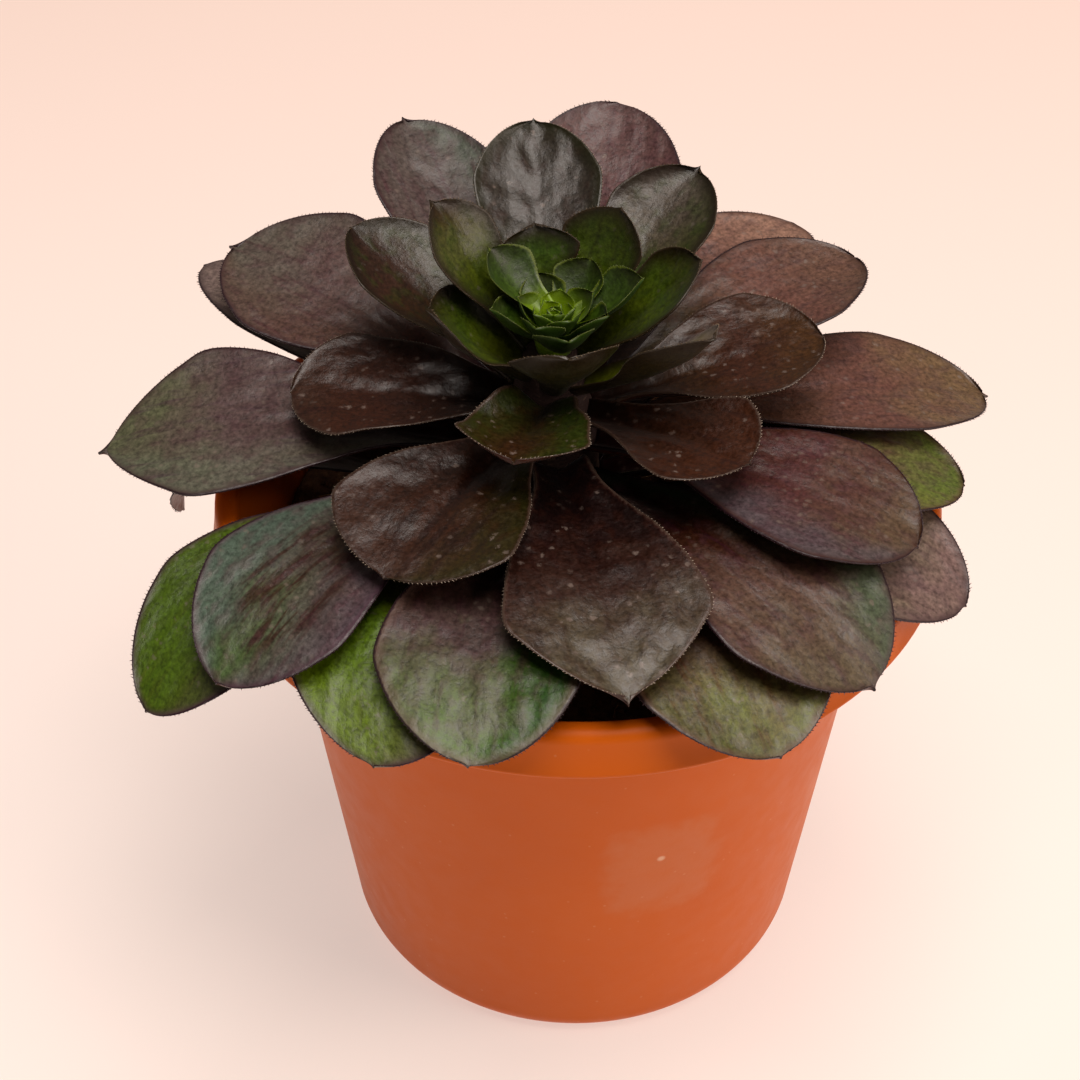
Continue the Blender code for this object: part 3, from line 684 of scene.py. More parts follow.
def row_weights(places: Sequence[float], count: int) -> np.ndarray:
    """Weights that draw a smooth curve through evenly numbered points.

    Args:
        places: Where to read the curve, in steps from the first point.
        count: The number of points.

    Returns:
        One line of weights for each place.
    """
    weights = np.zeros((len(places), count + 2))
    for line, place in zip(weights, places):
        start = min(int(place), count - 2)
        part = place - start
        line[start : start + 4] = (
            (-part + 2 * part**2 - part**3) / 2,
            (2 - 5 * part**2 + 3 * part**3) / 2,
            (part + 4 * part**2 - 3 * part**3) / 2,
            (part**3 - part**2) / 2,
        )
    # A point beyond each end continues the last step, so the two last points stand for it
    weights[:, 1:3] += weights[:, :1] * (2, -1)
    weights[:, -3:-1] += weights[:, -1:] * (-1, 2)
    return weights[:, 1:-1]


def column_weights(places: Sequence[float]) -> np.ndarray:
    """Weights that draw a smooth curve through the solid's five columns, a line for each place."""
    return np.vander(places, len(SOLID_COLUMNS)) @ np.linalg.inv(np.vander(SOLID_COLUMNS))


def grid_tree(upper: np.ndarray, lower: np.ndarray) -> BVHTree:
    """Makes a search tree of a blade's two faces.

    Args:
        upper: The upper grid of points.
        lower: The lower grid.

    Returns:
        The search tree.
    """
    rows, columns = upper.shape[:2]
    points = [Vector(point) for grid in (upper, lower) for point in grid.reshape(-1, 3)]
    corners = [
        start + row * columns + column
        for start in (0, rows * columns)
        for row in range(rows - 1)
        for column in range(columns - 1)
    ]
    faces = [(corner, corner + 1, corner + columns + 1, corner + columns) for corner in corners]
    return BVHTree.FromPolygons(points, faces)


@dataclass
class Blade:
    """One leaf blade as a fine closed mesh between an upper and a lower grid of points.

    The ridges and the blisters have their waves per mm across and along the blade, then a height,
    and the groove its half width in mm, then a depth. Height and depth are shares of the leaf's
    wrinkle. The margin's sizes are in mm.
    """

    upper: np.ndarray
    lower: np.ndarray
    along: np.ndarray
    across: np.ndarray
    seed: int
    wrinkle: float
    margin_round: float = 0.12
    point: float = ROUNDED_TIP
    point_start: float = 0.84
    margin_share: float = 0.5
    margin_band: float = 5.0
    smooth_band: tuple[float, float] = (0.2, 2.5)
    ridge: tuple[float, float, float] = (0.36, 0.09, 0.7)
    blister: tuple[float, float, float] = (0.29, 0.22, 1.5)
    groove: tuple[float, float] = (1.3, 2.1875)
    groove_fade: tuple[float, float] = (0.3, 0.95)
    pattern_step: float = 41.0
    grid: tuple[int, int] = field(init=False)

    def __post_init__(self) -> None:
        """Measures the grids and adds the thin margin, the point and the wrinkles."""
        self.grid = self.upper.shape[:2]
        centre = self.grid[1] // 2
        steps = np.linalg.norm(np.diff(self.upper[:, centre], axis=0), axis=1)
        self.length_mm = np.concatenate(([0.0], np.cumsum(steps))) / MM
        offsets = self.upper - self.upper[:, centre : centre + 1]
        self.width_mm = np.linalg.norm(offsets, axis=2) * np.sign(self.across)[None, :] / MM
        rim = np.concatenate((self.upper[:, 0], self.upper[-1], self.upper[::-1, -1]))
        gaps = np.linalg.norm(self.upper[:, :, None] - rim[None, None], axis=3)
        self.edge_mm = gaps.min(axis=2) / MM
        inside = np.clip(self.edge_mm / self.margin_band, 0, 1)[:, :, None]
        share = self.margin_share + (1 - self.margin_share) * inside
        self.lower = self.upper + (self.lower - self.upper) * share
        self._sharpen()
        self._wrinkle()

    def _sharpen(self) -> None:
        """Draws the middle of the last rows out to a small point."""
        tip = self.upper[-1].mean(axis=0) - self.upper[-4].mean(axis=0)
        tip /= np.linalg.norm(tip)
        ends = np.clip((self.along - self.point_start) / (1 - self.point_start), 0, 1)
        middle = (1 - np.abs(self.across)) ** 1.2
        shift = (self.point * MM * ends**2)[:, None, None] * middle[None, :, None] * tip
        self.upper = self.upper + shift
        self.lower = self.lower + shift

    def _wrinkle(self) -> None:
        """Moves the upper face by lengthwise ridges, blisters and a shallow middle groove."""
        normals = np.cross(np.gradient(self.upper, axis=1), np.gradient(self.upper, axis=0))
        normals /= np.maximum(np.linalg.norm(normals, axis=2, keepdims=True), TINY)
        if np.sum(normals * (self.upper - self.lower)) < 0:
            normals = -normals
        heights = np.zeros(self.grid)
        for row, column in np.ndindex(*self.grid):
            side = self.width_mm[row, column]
            forth = self.length_mm[row]
            # Each blade reads its own slice of both patterns
            ridge = Vector((side * self.ridge[0], forth * self.ridge[1], self.seed * 7.3))
            blister = Vector((side * self.blister[0], forth * self.blister[1], self.seed * 3.1 + 50))
            height = self.ridge[2] * noise.noise(ridge) + self.blister[2] * noise.noise(blister)
            groove = math.exp(-((side / self.groove[0]) ** 2))
            groove *= 1 - smooth_step(self.along[row], *self.groove_fade)
            fade = smooth_step(self.edge_mm[row, column], *self.smooth_band)
            heights[row, column] = fade * self.wrinkle * (height - self.groove[1] * groove)
        self.upper = self.upper + normals * heights[:, :, None] * MM

    def rim_points(self, start: float) -> Iterator[tuple[Vector, Vector, float, float]]:
        """Walks the margin on both sides from a share of the length to the tip.

        Args:
            start: The share of the length where the walk begins.

        Yields:
            A point of the margin, the way out from the blade, the share of the length and the
            side, -1 or 1.
        """
        middle = (self.upper + self.lower) / 2
        for column, side in ((0, -1.0), (self.grid[1] - 1, 1.0)):
            for row in range(self.grid[0] - 1):
                if self.along[row] >= start:
                    here = Vector(middle[row, column])
                    outwards = (here - Vector(middle[row, column - int(side)])).normalized()
                    yield here, outwards, float(self.along[row]), side

    def build(self) -> bmesh.types.BMesh:
        """Makes the closed blade.

        Returns:
            A bmesh whose points carry the layers place and blade.
        """
        rows, columns = self.grid
        bm = bmesh.new()
        row_of, column_of, side_of = (bm.verts.layers.int.new(name) for name in ("row", "column", "side"))
        place, blade = (bm.verts.layers.float_vector.new(name) for name in ("place", "blade"))
        bmesh.ops.create_grid(bm, x_segments=columns - 1, y_segments=rows - 1, size=1)
        for vert in bm.verts:
            vert[row_of] = round((vert.co.y + 1) / 2 * (rows - 1))
            vert[column_of] = round((vert.co.x + 1) / 2 * (columns - 1))
            vert[side_of] = 1
        rim = [edge for edge in bm.edges if edge.is_boundary]
        copied = bmesh.ops.duplicate(bm, geom=bm.verts[:] + bm.edges[:] + bm.faces[:])["geom"]
        bmesh.ops.reverse_faces(bm, faces=[item for item in copied if isinstance(item, bmesh.types.BMFace)])
        for item in copied:
            if isinstance(item, bmesh.types.BMVert):
                item[side_of] = -1
        for side in (0, -1):
            grown = bmesh.ops.extrude_edge_only(bm, edges=rim)["geom"]
            fresh = {item for item in grown if isinstance(item, bmesh.types.BMVert)}
            for vert in fresh:
                vert[side_of] = side
            edges = [item for item in grown if isinstance(item, bmesh.types.BMEdge)]
            rim = [edge for edge in edges if fresh.issuperset(edge.verts)]
        for vert in bm.verts:
            row, column, side = vert[row_of], vert[column_of], vert[side_of]
            above = self.upper[row, column]
            under = self.lower[row, column]
            if side == 0:
                inner = self.upper[min(row, rows - 2), min(max(column, 1), columns - 2)]
                out = (above - inner) if row else above * 0
                length = max(float(np.linalg.norm(out)), TINY)
                vert.co = Vector((above + under) / 2 + out / length * self.margin_round * MM)
            else:
                vert.co = Vector(above if side == 1 else under)
            vert[place] = (self.across[column], self.along[row], self.edge_mm[row, column])
            across = self.width_mm[row, column] + self.pattern_step * self.seed
            vert[blade] = (across, self.length_mm[row], side or 0.5)
        bmesh.ops.remove_doubles(bm, verts=bm.verts, dist=0.002 * MM)
        bmesh.ops.recalc_face_normals(bm, faces=bm.faces)
        return bm


@dataclass(frozen=True)
class Bristles:
    """Short stiff bristles along a blade's margin, in mm, and how far they differ."""

    length: float
    spacing: float
    start: float = 0.3
    root_radius: float = 0.11
    tip_radius: float = 0.015
    lengths: tuple[float, float] = (0.55, 1.25)
    spacings: tuple[float, float] = (0.7, 1.35)
    lean: tuple[float, float] = (0.25, 0.75)
    jitter: float = 0.22

    def grow(self, bm: bmesh.types.BMesh, blade: Blade, chance: random.Random) -> None:
        """Sets the bristles.

        Args:
            bm: The blade's bmesh, which gets the bristles.
            blade: The blade that they stand on.
            chance: The source of the small differences.
        """
        place_layer, blade_layer = (bm.verts.layers.float_vector[name] for name in ("place", "blade"))
        before = None
        left = 0.0
        for here, outwards, share, side in blade.rim_points(self.start):
            if before is None or before[2] != side:
                before = (here, outwards, side)
                left = 0.0
                continue
            step = here - before[0]
            reach = step.length / MM
            while left < reach:
                root = before[0].lerp(here, left / reach)
                out = before[1].lerp(outwards, left / reach).normalized()
                forth = step.normalized() * chance.uniform(*self.lean)
                jitter = Vector([chance.uniform(-1, 1) for _ in range(3)])
                direction = (out + forth + jitter * self.jitter).normalized()
                size = self.length * chance.uniform(*self.lengths) * MM
                turn = direction.to_track_quat("Z", "Y").to_matrix().to_4x4()
                made = bmesh.ops.create_cone(
                    bm,
                    cap_ends=True,
                    cap_tris=True,
                    segments=3,
                    radius1=self.root_radius * MM,
                    radius2=self.tip_radius * MM,
                    depth=size,
                    matrix=Matrix.Translation(root + direction * (size / 2)) @ turn,
                )
                for vert in made["verts"]:
                    vert[place_layer] = (side, share, -2.0)
                    vert[blade_layer] = (0.0, 0.0, 1.0)
                left += self.spacing * chance.uniform(*self.spacings)
            left -= reach
            before = (here, outwards, side)


@dataclass
class Leaf:
    """One leaf of the rosette, made again over its solid."""

    node: str
    number: int
    finish: LeafFinish
    across_steps: int = 32
    steps_to_widest: int = 8
    steps_to_tip: int = 5
    root_reach: float = 0.9 * MM
    bristle_spacing: float = 0.72
    point: float = ROUNDED_TIP
    base: tuple[float, float] = (0.08, 0.66)
    spreads: tuple[float, ...] = (2.0, 1.75, 1.5, 1.3, 1.15, 1.0)

    def _places(self) -> list[float]:
        """The fine rows, in steps of the solid's rows."""
        places = [step / self.steps_to_widest for step in range(WIDEST_ROW * self.steps_to_widest)]
        rest = (SOLID_ROWS - 1 - WIDEST_ROW) * self.steps_to_tip
        return places + [WIDEST_ROW + step / self.steps_to_tip for step in range(rest + 1)]

    def _shares(self) -> np.ndarray:
        """The fine rows' shares of the leaf's length."""
        return np.array([
            WIDEST_SHARE * place / WIDEST_ROW
            if place <= WIDEST_ROW
            else WIDEST_SHARE + (1 - WIDEST_SHARE) * math.sin((place - WIDEST_ROW) * TIP_TURN)
            for place in self._places()
        ])

    def _across(self) -> np.ndarray:
        """The fine columns, closer together towards the margins."""
        even = np.linspace(-1, 1, self.across_steps + 1)
        return even * (1.25 - 0.25 * even**2)

    def _grids(self, solid: SolidRows, spread: float) -> list[np.ndarray]:
        """Draws smooth grids through the solid's rows.

        Args:
            solid: The leaf's solid.
            spread: How many times broader the leaf's base is made.

        Returns:
            The upper and the lower grid.
        """
        rows = row_weights(self._places(), SOLID_ROWS)
        columns = column_weights(self._across())
        fading = np.array([1 - smooth_step(share, *self.base) for share in self._shares()])
        broader = 1 + (spread - 1) * fading
        grids = []
        for points in (solid.upper, solid.lower):
            grid = np.einsum("rp,pqx,cq->rcx", rows, points, columns)
            middle = grid[:, grid.shape[1] // 2][:, None]
            grids.append(middle + (grid - middle) * broader[:, None, None])
        return grids

    def blade(self, others: Sequence[BVHTree]) -> Blade:
        """Reads the solid and draws the blade, its base as broad as the other leaves allow.

        Args:
            others: Search trees of the other leaves.

        Returns:
            The leaf's fine blade.
        """
        solid = SolidRows(self.node)
        for grid in (solid.upper, solid.lower):
            inwards = grid[0].mean(axis=0) - grid[1].mean(axis=0)
            grid[0] += inwards / np.linalg.norm(inwards) * self.root_reach
        spreads = self.spreads if self.finish.kind in (LeafKind.DARK, LeafKind.INNER) else (1.0,)
        for spread in spreads:
            grids = self._grids(solid, spread)
            if spread == 1.0 or not any(grid_tree(*grids).overlap(tree) for tree in others):
                break
        LOG.info("%s: base %.2f times as broad", self.node, spread)
        return Blade(
            *grids, self._shares(), self._across(), self.number, self.finish.wrinkle, point=self.point
        )

    def build(self, trees: dict[str, BVHTree]) -> bpy.types.Object:
        """Makes the leaf with its bristles and its skin.

        Args:
            trees: Search trees of all leaves by their nodes; this leaf's own is renewed.

        Returns:
            The leaf's piece.
        """
        blade = self.blade([tree for node, tree in trees.items() if node != self.node])
        trees[self.node] = grid_tree(blade.upper, blade.lower)
        bm = blade.build()
        bristles = Bristles(self.finish.bristle_length, self.bristle_spacing)
        bristles.grow(bm, blade, random.Random(self.number))
        material = self.finish.material(self.node)
        return finish_piece(f"{self.node}_blade", bm, material, self.finish.kind.value, self.node)


@dataclass
class Heart:
    """The growing point: small cupped leaves on a spiral by the golden angle."""

    leaves: int = 18
    buds: int = 5
    foot: float = STEM_TOP + 0.3 * MM
    foot_shares: tuple[float, float] = (0.25, 0.8)
    core_radius: float = 3.8 * MM
    core_height: float = 6.0 * MM
    core_profile: tuple[tuple[float, float], ...] = ((0, 0), (0.8, 0), (0.9, 0.35), (0.5, 0.8), (0, 1))
    root_share: float = 0.45
    reach: float = 13.6 * MM
    reach_fall: float = 1.25
    bud_reach: float = 0.9 * MM
    tip_height: float = 142 * MM
    bud_height: float = 139 * MM
    width: float = 11.0 * MM
    bud_width: float = 3.0 * MM
    petiole: float = 2.2 * MM
    widest_at: float = 0.74
    thickness: float = 0.95 * MM
    clearance: float = 0.35 * MM
    lift_step: float = 0.25 * MM
    lift_tries: int = 40
    arch: float = -14
    handle: float = 0.36
    cup: float = 0.5
    channel: float = 0.28
    tip_point: float = 0.35
    heading: float = 5
    rows: int = 22
    columns: int = 17
    seed: int = 60
    finish: LeafFinish = HEART
    bristles: Bristles = Bristles(HEART.bristle_length, 0.5)

    def _midrib(self, inward: float, lift: float) -> tuple[Vector, Vector, Vector, Vector]:
        """The control points of a small leaf's midrib, as in the solid.

        Args:
            inward: 0 for the outermost leaf and 1 for the innermost.
            lift: How far the leaf is raised.

        Returns:
            The cubic curve's four points, in the plane y = 0.
        """
        closed = max(0.0, 1 - inward)
        low, high = self.foot_shares
        base = Vector((self.root_share * self.core_radius * closed + 0.3 * MM, 0, 0))
        base.z = self.foot + self.core_height * (low + (high - low) * inward) + lift
        tip = Vector((self.reach * closed**self.reach_fall + self.bud_reach, 0, 0))
        tip.z = self.tip_height + (self.bud_height - self.tip_height) * inward + lift
        chord = tip - base
        pitch = math.atan2(chord.z, chord.x)
        rising = pitch + math.radians(self.arch)
        falling = pitch - math.radians(1.3 * self.arch)
        handle = chord.length * self.handle
        first = base + Vector((math.cos(rising), 0, math.sin(rising))) * handle
        second = tip - Vector((math.cos(falling), 0, math.sin(falling))) * handle
        return base, first, second, tip

    def _half_width(self, share: float, inward: float) -> float:
        """Half a small leaf's width.

        Args:
            share: The share of the leaf's length.
            inward: 0 for the outermost leaf and 1 for the innermost.

        Returns:
            The distance from the midrib to the margin.
        """
        widest = (self.width + (self.bud_width - self.width) * min(1.0, inward)) / 2
        root = 0.8 + 0.2 * smooth_step(share, 0, 0.2)
        petiole = min(widest, (self.petiole + 0.1 * widest) * root)
        if share <= self.widest_at:
            return petiole + (widest - petiole) * smooth_step(share, 0.12, self.widest_at)
        past = (share - self.widest_at) / (1 - self.widest_at)
        rounded = math.sqrt(max(0.0, 1 - past**2.3))
        pointed = 1 - past**1.25
        return widest * max(0.05, (1 - self.tip_point) * rounded + self.tip_point * pointed)

    def _leaflet(self, index: int, lift: float, growth: float) -> Blade:
        """Draws one small leaf, shorter and steeper towards the growing point.

        Args:
            index: The leaf's place on the spiral, from the outside.
            lift: How far the leaf is raised.
            growth: How much thicker it is drawn on both faces.

        Returns:
            The small leaf's blade.
        """
        inward = min(1.15, index / (self.leaves - 1))
        base, first, second, tip = self._midrib(inward, lift)
        along = 1 - np.linspace(1, 0, self.rows) ** 1.4
        across = np.linspace(-1, 1, self.columns)
        turn = math.radians(self.heading + GOLDEN_ANGLE * index)
        place = Matrix.Translation((HEART_X, 0, 0)) @ Matrix.Rotation(turn, 4, "Z")
        upper = np.zeros((len(along), len(across), 3))
        lower = np.zeros_like(upper)
        for row, share in enumerate(along):
            rest = 1 - share
            centre = base * rest**3 + first * 3 * rest**2 * share
            centre += second * 3 * rest * share**2 + tip * share**3
            slope = (first - base) * rest**2 + (second - first) * 2 * rest * share
            slope = (slope + (tip - second) * share**2).normalized()
            up = Vector((-slope.z, 0, slope.x))
            wide = self._half_width(share, inward)
            channel = self.cup + self.channel * (1 - smooth_step(share, 0, 0.45))
            for column, side in enumerate(across):
                point = centre + Vector((0, wide * side, 0)) + up * (wide * channel * side * side)
                thick = self.thickness * (1 - 0.6 * abs(side) ** 1.5) * (1 - 0.45 * share)
                upper[row, column] = place @ (point + up * growth)
                lower[row, column] = place @ (point - up * (thick + growth))
        return Blade(upper, lower, along, across, self.seed + index, self.finish.wrinkle, 0.08, 0.35)

    def _clear_leaflet(self, index: int, trees: Sequence[BVHTree]) -> Blade:
        """Raises one small leaf until it stands clear of the large leaves.

        Args:
            index: The leaf's place on the spiral.
            trees: Search trees of the large leaves.

        Returns:
            The small leaf's blade at its final height.
        """
        for step in range(self.lift_tries):
            lift = step * self.lift_step
            trial = self._leaflet(index, lift, self.clearance).build()
            tree = BVHTree.FromBMesh(trial)
            trial.free()
            if not any(tree.overlap(other) for other in trees):
                break
        return self._leaflet(index, lift, 0.0)

    def build(self, leaves: Sequence[bpy.types.Object]) -> bpy.types.Object:
        """Makes the small leaves and the core that they grow from, as one piece.

        Args:
            leaves: The large leaves that the small ones stand clear of.

        Returns:
            The heart's piece.
        """
        trees = [mesh_tree(leaf.data) for leaf in leaves]
        core = [
            (self.core_radius * across, self.foot + self.core_height * up)
            for across, up in self.core_profile
        ]
        bm = spin_profile(core, 24, HEART_X)
        place = bm.verts.layers.float_vector.new("place")
        bm.verts.layers.float_vector.new("blade")
        for vert in bm.verts:
            vert[place] = (0.0, 0.2, 3.0)
        chance = random.Random(5)
        for index in range(self.leaves + self.buds):
            blade = self._clear_leaflet(index, trees)
            small = blade.build()
            self.bristles.grow(small, blade, chance)
            scrap = bpy.data.meshes.new("leaflet")
            small.to_mesh(scrap)
            small.free()
            bm.from_mesh(scrap)
            bpy.data.meshes.remove(scrap)
        material = self.finish.material("heart")
        return finish_piece("heart_leaflets", bm, material, self.finish.kind.value, "heart")


@dataclass(frozen=True)
class PotPlastic:
    """Injection-moulded polypropylene in a terracotta colour: satin, with a fine moulded grain."""

    colour: str = "#D26204"
    shade: str = "#CA5A00"
    dust: Tint = ("#D89A70", 0.3)
    label_trace: Tint = ("#CC7A50", 0.42)
    dot: Tint = ("#E8B898", 0.8)
    dot_centre: Point = (14.3 * MM, -48.4 * MM, 56.5 * MM)
    trace_centre: Point = (14.4 * MM, -48.1 * MM, 53.5 * MM)
    trace_half: tuple[float, float] = (10.5 * MM, 13.5 * MM)

    def material(self) -> bpy.types.Material:
        """Makes the pot's material.

        Returns:
            The material, on Object coordinates.
        """
        material, tree, shader = new_material("moulded_polypropylene_terracotta")
        where = add_node(tree, "TexCoord")["Object"]
        # Clouds in the colour are about 25 mm wide, as uneven masterbatch leaves them
        cloud = add_node(tree, "TexNoise", {0: where, "Scale": 40.0, "Detail": 3.0})["Fac"]
        # The moulded grain is 0.3 mm, drawn at 0.5 mm so that it shows
        grain = add_node(tree, "TexNoise", {0: where, "Scale": 2000.0, "Detail": 2.0})["Fac"]
        # A label was peeled off the front and left a faint paler patch, 21 mm wide and 27 mm high
        centred = add_node(tree, "VectorMath", (where, self.trace_centre), operation="SUBTRACT")[0]
        size = (1 / self.trace_half[0], 0.0, 1 / self.trace_half[1])
        scaled = add_node(tree, "VectorMath", (centred, size), operation="MULTIPLY")[0]
        across, _, up = add_node(tree, "SeparateXYZ", (scaled,))
        powers = [add_node(tree, "Math", (part, 4.0), operation="POWER")[0] for part in (across, up)]
        round_box = add_node(tree, "Math", powers, operation="ADD")[0]
        torn = add_node(tree, "TexNoise", {0: where, "Scale": 260.0, "Detail": 4.0})["Fac"]
        ragged = add_node(tree, "Math", (torn, 1.6, round_box), operation="MULTIPLY_ADD")[0]
        inside = add_node(tree, "MapRange", (ragged, 2.3, 0.7), interpolation_type="SMOOTHSTEP")[0]
        depth = add_node(tree, "SeparateXYZ", (where,))[1]
        facing = add_node(tree, "MapRange", (depth, -30 * MM, -38 * MM))[0]
        trace = add_node(tree, "Math", (inside, facing), operation="MULTIPLY")[0]
        # A dab of glue 1.2 mm across is left in the patch
        apart = add_node(tree, "VectorMath", (where, self.dot_centre), operation="DISTANCE")[1]
        # Specks of dust and peat are under half a millimetre
        cells = add_node(tree, "TexVoronoi", {0: where, "Scale": 260.0})["Distance"]
        colour = lay_tints(
            tree,
            self.shade,
            (cloud, 0.0, 1.0, (self.colour, 1.0), False),
            (trace, 0.0, 1.0, self.label_trace, False),
            (apart, 0.9 * MM, 0.4 * MM, self.dot, False),
            (cells, 0.09, 0.04, self.dust, False),
        )
        fill_inputs(tree, shader, {
            "Base Color": colour,
            "Normal": add_node(tree, "Bump", {"Strength": 0.18, "Distance": 0.1 * MM, "Height": grain})[0],
            "Roughness": add_node(tree, "MapRange", (torn, 0.3, 0.7, 0.4, 0.5))[0],
            "IOR": 1.49,
            "Specular IOR Level": 0.2,
        })
        return material


@dataclass
class Pot:
    """The nursery pot: a rounded lip, a hanging skirt, a tapered wall and a foot with drainage."""

    height: float = 104 * MM
    skirt_radius: float = 65 * MM
    skirt_bottom: float = 95.2 * MM
    lip_outer: float = 64.2 * MM
    lip_inner: float = 60 * MM
    lip_round: float = 2.2 * MM
    edge: float = 0.4 * MM
    neck_step: float = 1.6 * MM
    steps: int = 144
    drain_radius: float = 3.5 * MM
    drain_ring: float = 26 * MM
    notch_size: Point = (16 * MM, 11 * MM, 2 * MM)
    notch_headings: tuple[int, ...] = (-73, 17, 107, 197)
    sharp_angle: float = math.radians(50)
    plastic: PotPlastic = PotPlastic()

    def _profile(self) -> Profile:
        """Draws the pot's section.

        Returns:
            Points from the floor's centre up the inside, over the lip and down to the base.
        """
        edge = self.edge
        lip, bottom, outer = self.height - self.lip_round, self.skirt_bottom, self.skirt_radius
        foot_centre = (wall_radius(POT_FOOT_ROUND) - POT_FOOT_ROUND, POT_FOOT_ROUND)
        step = POT_NECK_HEIGHT + self.neck_step
        inner_neck = (POT_NECK_RADIUS - POT_WALL, POT_NECK_HEIGHT + edge)
        inner_foot = arc(foot_centre, POT_FOOT_ROUND - POT_FLOOR, -90, 0, 6)
        outer_foot = arc(foot_centre, POT_FOOT_ROUND, 0, -90, 10)
        return [
            (0, POT_FLOOR),
            *inner_foot,
            *self._run(inner_foot[-1], inner_neck, 12),
            inner_neck,
            (POT_NECK_RADIUS, step + 2 * edge),
            (POT_NECK_RADIUS + edge, step + 3 * edge),
            (self.lip_inner - 0.5 * edge, lip - 2 * edge),
            (self.lip_inner, lip),
            (self.lip_inner + 0.5 * edge, self.height - 2 * edge),
            (self.lip_inner + 1.6 * edge, self.height - 0.5 * edge),
            (self.lip_inner + 2.6 * edge, self.height),
            *arc((self.lip_outer - self.lip_round, lip), self.lip_round, 80, 0, 8),
            (outer - 0.3 * edge, bottom + 2.5 * edge),
            (outer, bottom + 2 * edge),
            (outer, bottom + edge),
            (outer - 0.3 * edge, bottom + 0.3 * edge),
            (outer - edge, bottom),
            (outer - POT_WALL, bottom),
            (outer - POT_WALL - 2 * edge, lip - POT_WALL),
            (self.lip_inner + POT_WALL, lip - POT_WALL),
            (POT_NECK_RADIUS + POT_WALL, step),
            (POT_NECK_RADIUS, POT_NECK_HEIGHT),
            *self._run((POT_NECK_RADIUS, POT_NECK_HEIGHT), outer_foot[0], 16),
            *outer_foot,
            (0, 0),
        ]

    def _run(self, start: tuple[float, float], end: tuple[float, float], count: int) -> Profile:
        """The inner points of a straight run between two profile points."""
        shares = [step / count for step in range(1, count)]
        return [tuple(near + (far - near) * share for near, far in zip(start, end)) for share in shares]

    def _cutters(self) -> bpy.types.Object:
        """Makes the drain holes' cylinders and the notches' blocks.

        Returns:
            One object that a Boolean reads.
        """
        bm = bmesh.new()
        for heading in range(30, 390, 60):
            centre = Matrix.Rotation(math.radians(heading), 3, "Z") @ Vector((self.drain_ring, 0, 0))
            bmesh.ops.create_cone(
                bm,
                cap_ends=True,
                segments=32,
                radius1=self.drain_radius,
                radius2=self.drain_radius,
                depth=4 * POT_FLOOR,
                matrix=Matrix.Translation(centre),
            )
        for heading in self.notch_headings:
            turn = Matrix.Rotation(math.radians(heading), 4, "Z")
            shift = Matrix.Translation((POT_FOOT_RADIUS, 0, 0))
            bmesh.ops.create_cube(bm, size=1, matrix=turn @ shift @ Matrix.Diagonal((*self.notch_size, 1)))
        return link_mesh("drainage", bm)

    def build(self) -> bpy.types.Object:
        """Makes the pot in its moulded plastic.

        Returns:
            The pot's piece.
        """
        shell = link_mesh("pot shell", spin_profile(self._profile(), self.steps))
        cutter = self._cutters()
        cut = shell.modifiers.new("drainage", "BOOLEAN")
        cut.operation = "DIFFERENCE"
        cut.object = cutter
        bpy.context.view_layer.update()
        done = bmesh.new()
        done.from_mesh(shell.evaluated_get(bpy.context.evaluated_depsgraph_get()).data)
        bpy.data.objects.remove(cutter)
        bpy.data.objects.remove(shell)
        piece = finish_piece("pot_shell", done, self.plastic.material(), "terracotta_plastic", "pot")
        piece.data.set_sharp_from_angle(angle=self.sharp_angle)
        return piece


@dataclass(frozen=True)
class Peat:
    """Moist black peat: dull dark crumbs with paler dry ones between."""

    dark: str = "#4A3424"
    light: str = "#7C5C42"
    dry: str = "#A07E5C"

    def material(self, name: str) -> bpy.types.Material:
        """Makes the peat's material.

        Args:
            name: The material's name.

        Returns:
            The material, on Object coordinates.
        """
        material, tree, shader = new_material(name)
        where = add_node(tree, "TexCoord")["Object"]
        # Crumbs are 1 to 3 mm
        values = {0: where, "Scale": 420.0, "Detail": 6.0, "Roughness": 0.7}
        crumbs = add_node(tree, "TexNoise", values)["Fac"]
        stops = ((0.35, self.dark), (0.62, self.light), (0.74, self.dry))
        fill_inputs(tree, shader, {
            "Base Color": add_node(tree, "ValToRGB", (crumbs,), stops)[0],
            "Normal": add_node(tree, "Bump", {"Strength": 0.8, "Distance": 0.8 * MM, "Height": crumbs})[0],
            "Roughness": 0.92,
            "IOR": 1.4,
        })
        return material


@dataclass(frozen=True)
class DryFibre:
    """Dry plant fibre: matt straw that browns in places."""

    brown: str = "#7A5A3C"
    straw: str = "#B89C70"

    def material(self) -> bpy.types.Material:
        """Makes the fibres' material.

        Returns:
            The material, on Object coordinates.
        """
        material, tree, shader = new_material("dry_plant_fibre")
        where = add_node(tree, "TexCoord")["Object"]
        # The fibres' colour changes over about 6 mm
        change = add_node(tree, "TexNoise", {0: where, "Scale": 160.0})["Fac"]
        colour = add_node(tree, "ValToRGB", (change,), ((0.4, self.brown), (0.6, self.straw)))[0]
        fill_inputs(tree, shader, {"Base Color": colour, "Roughness": 0.8})
        return material


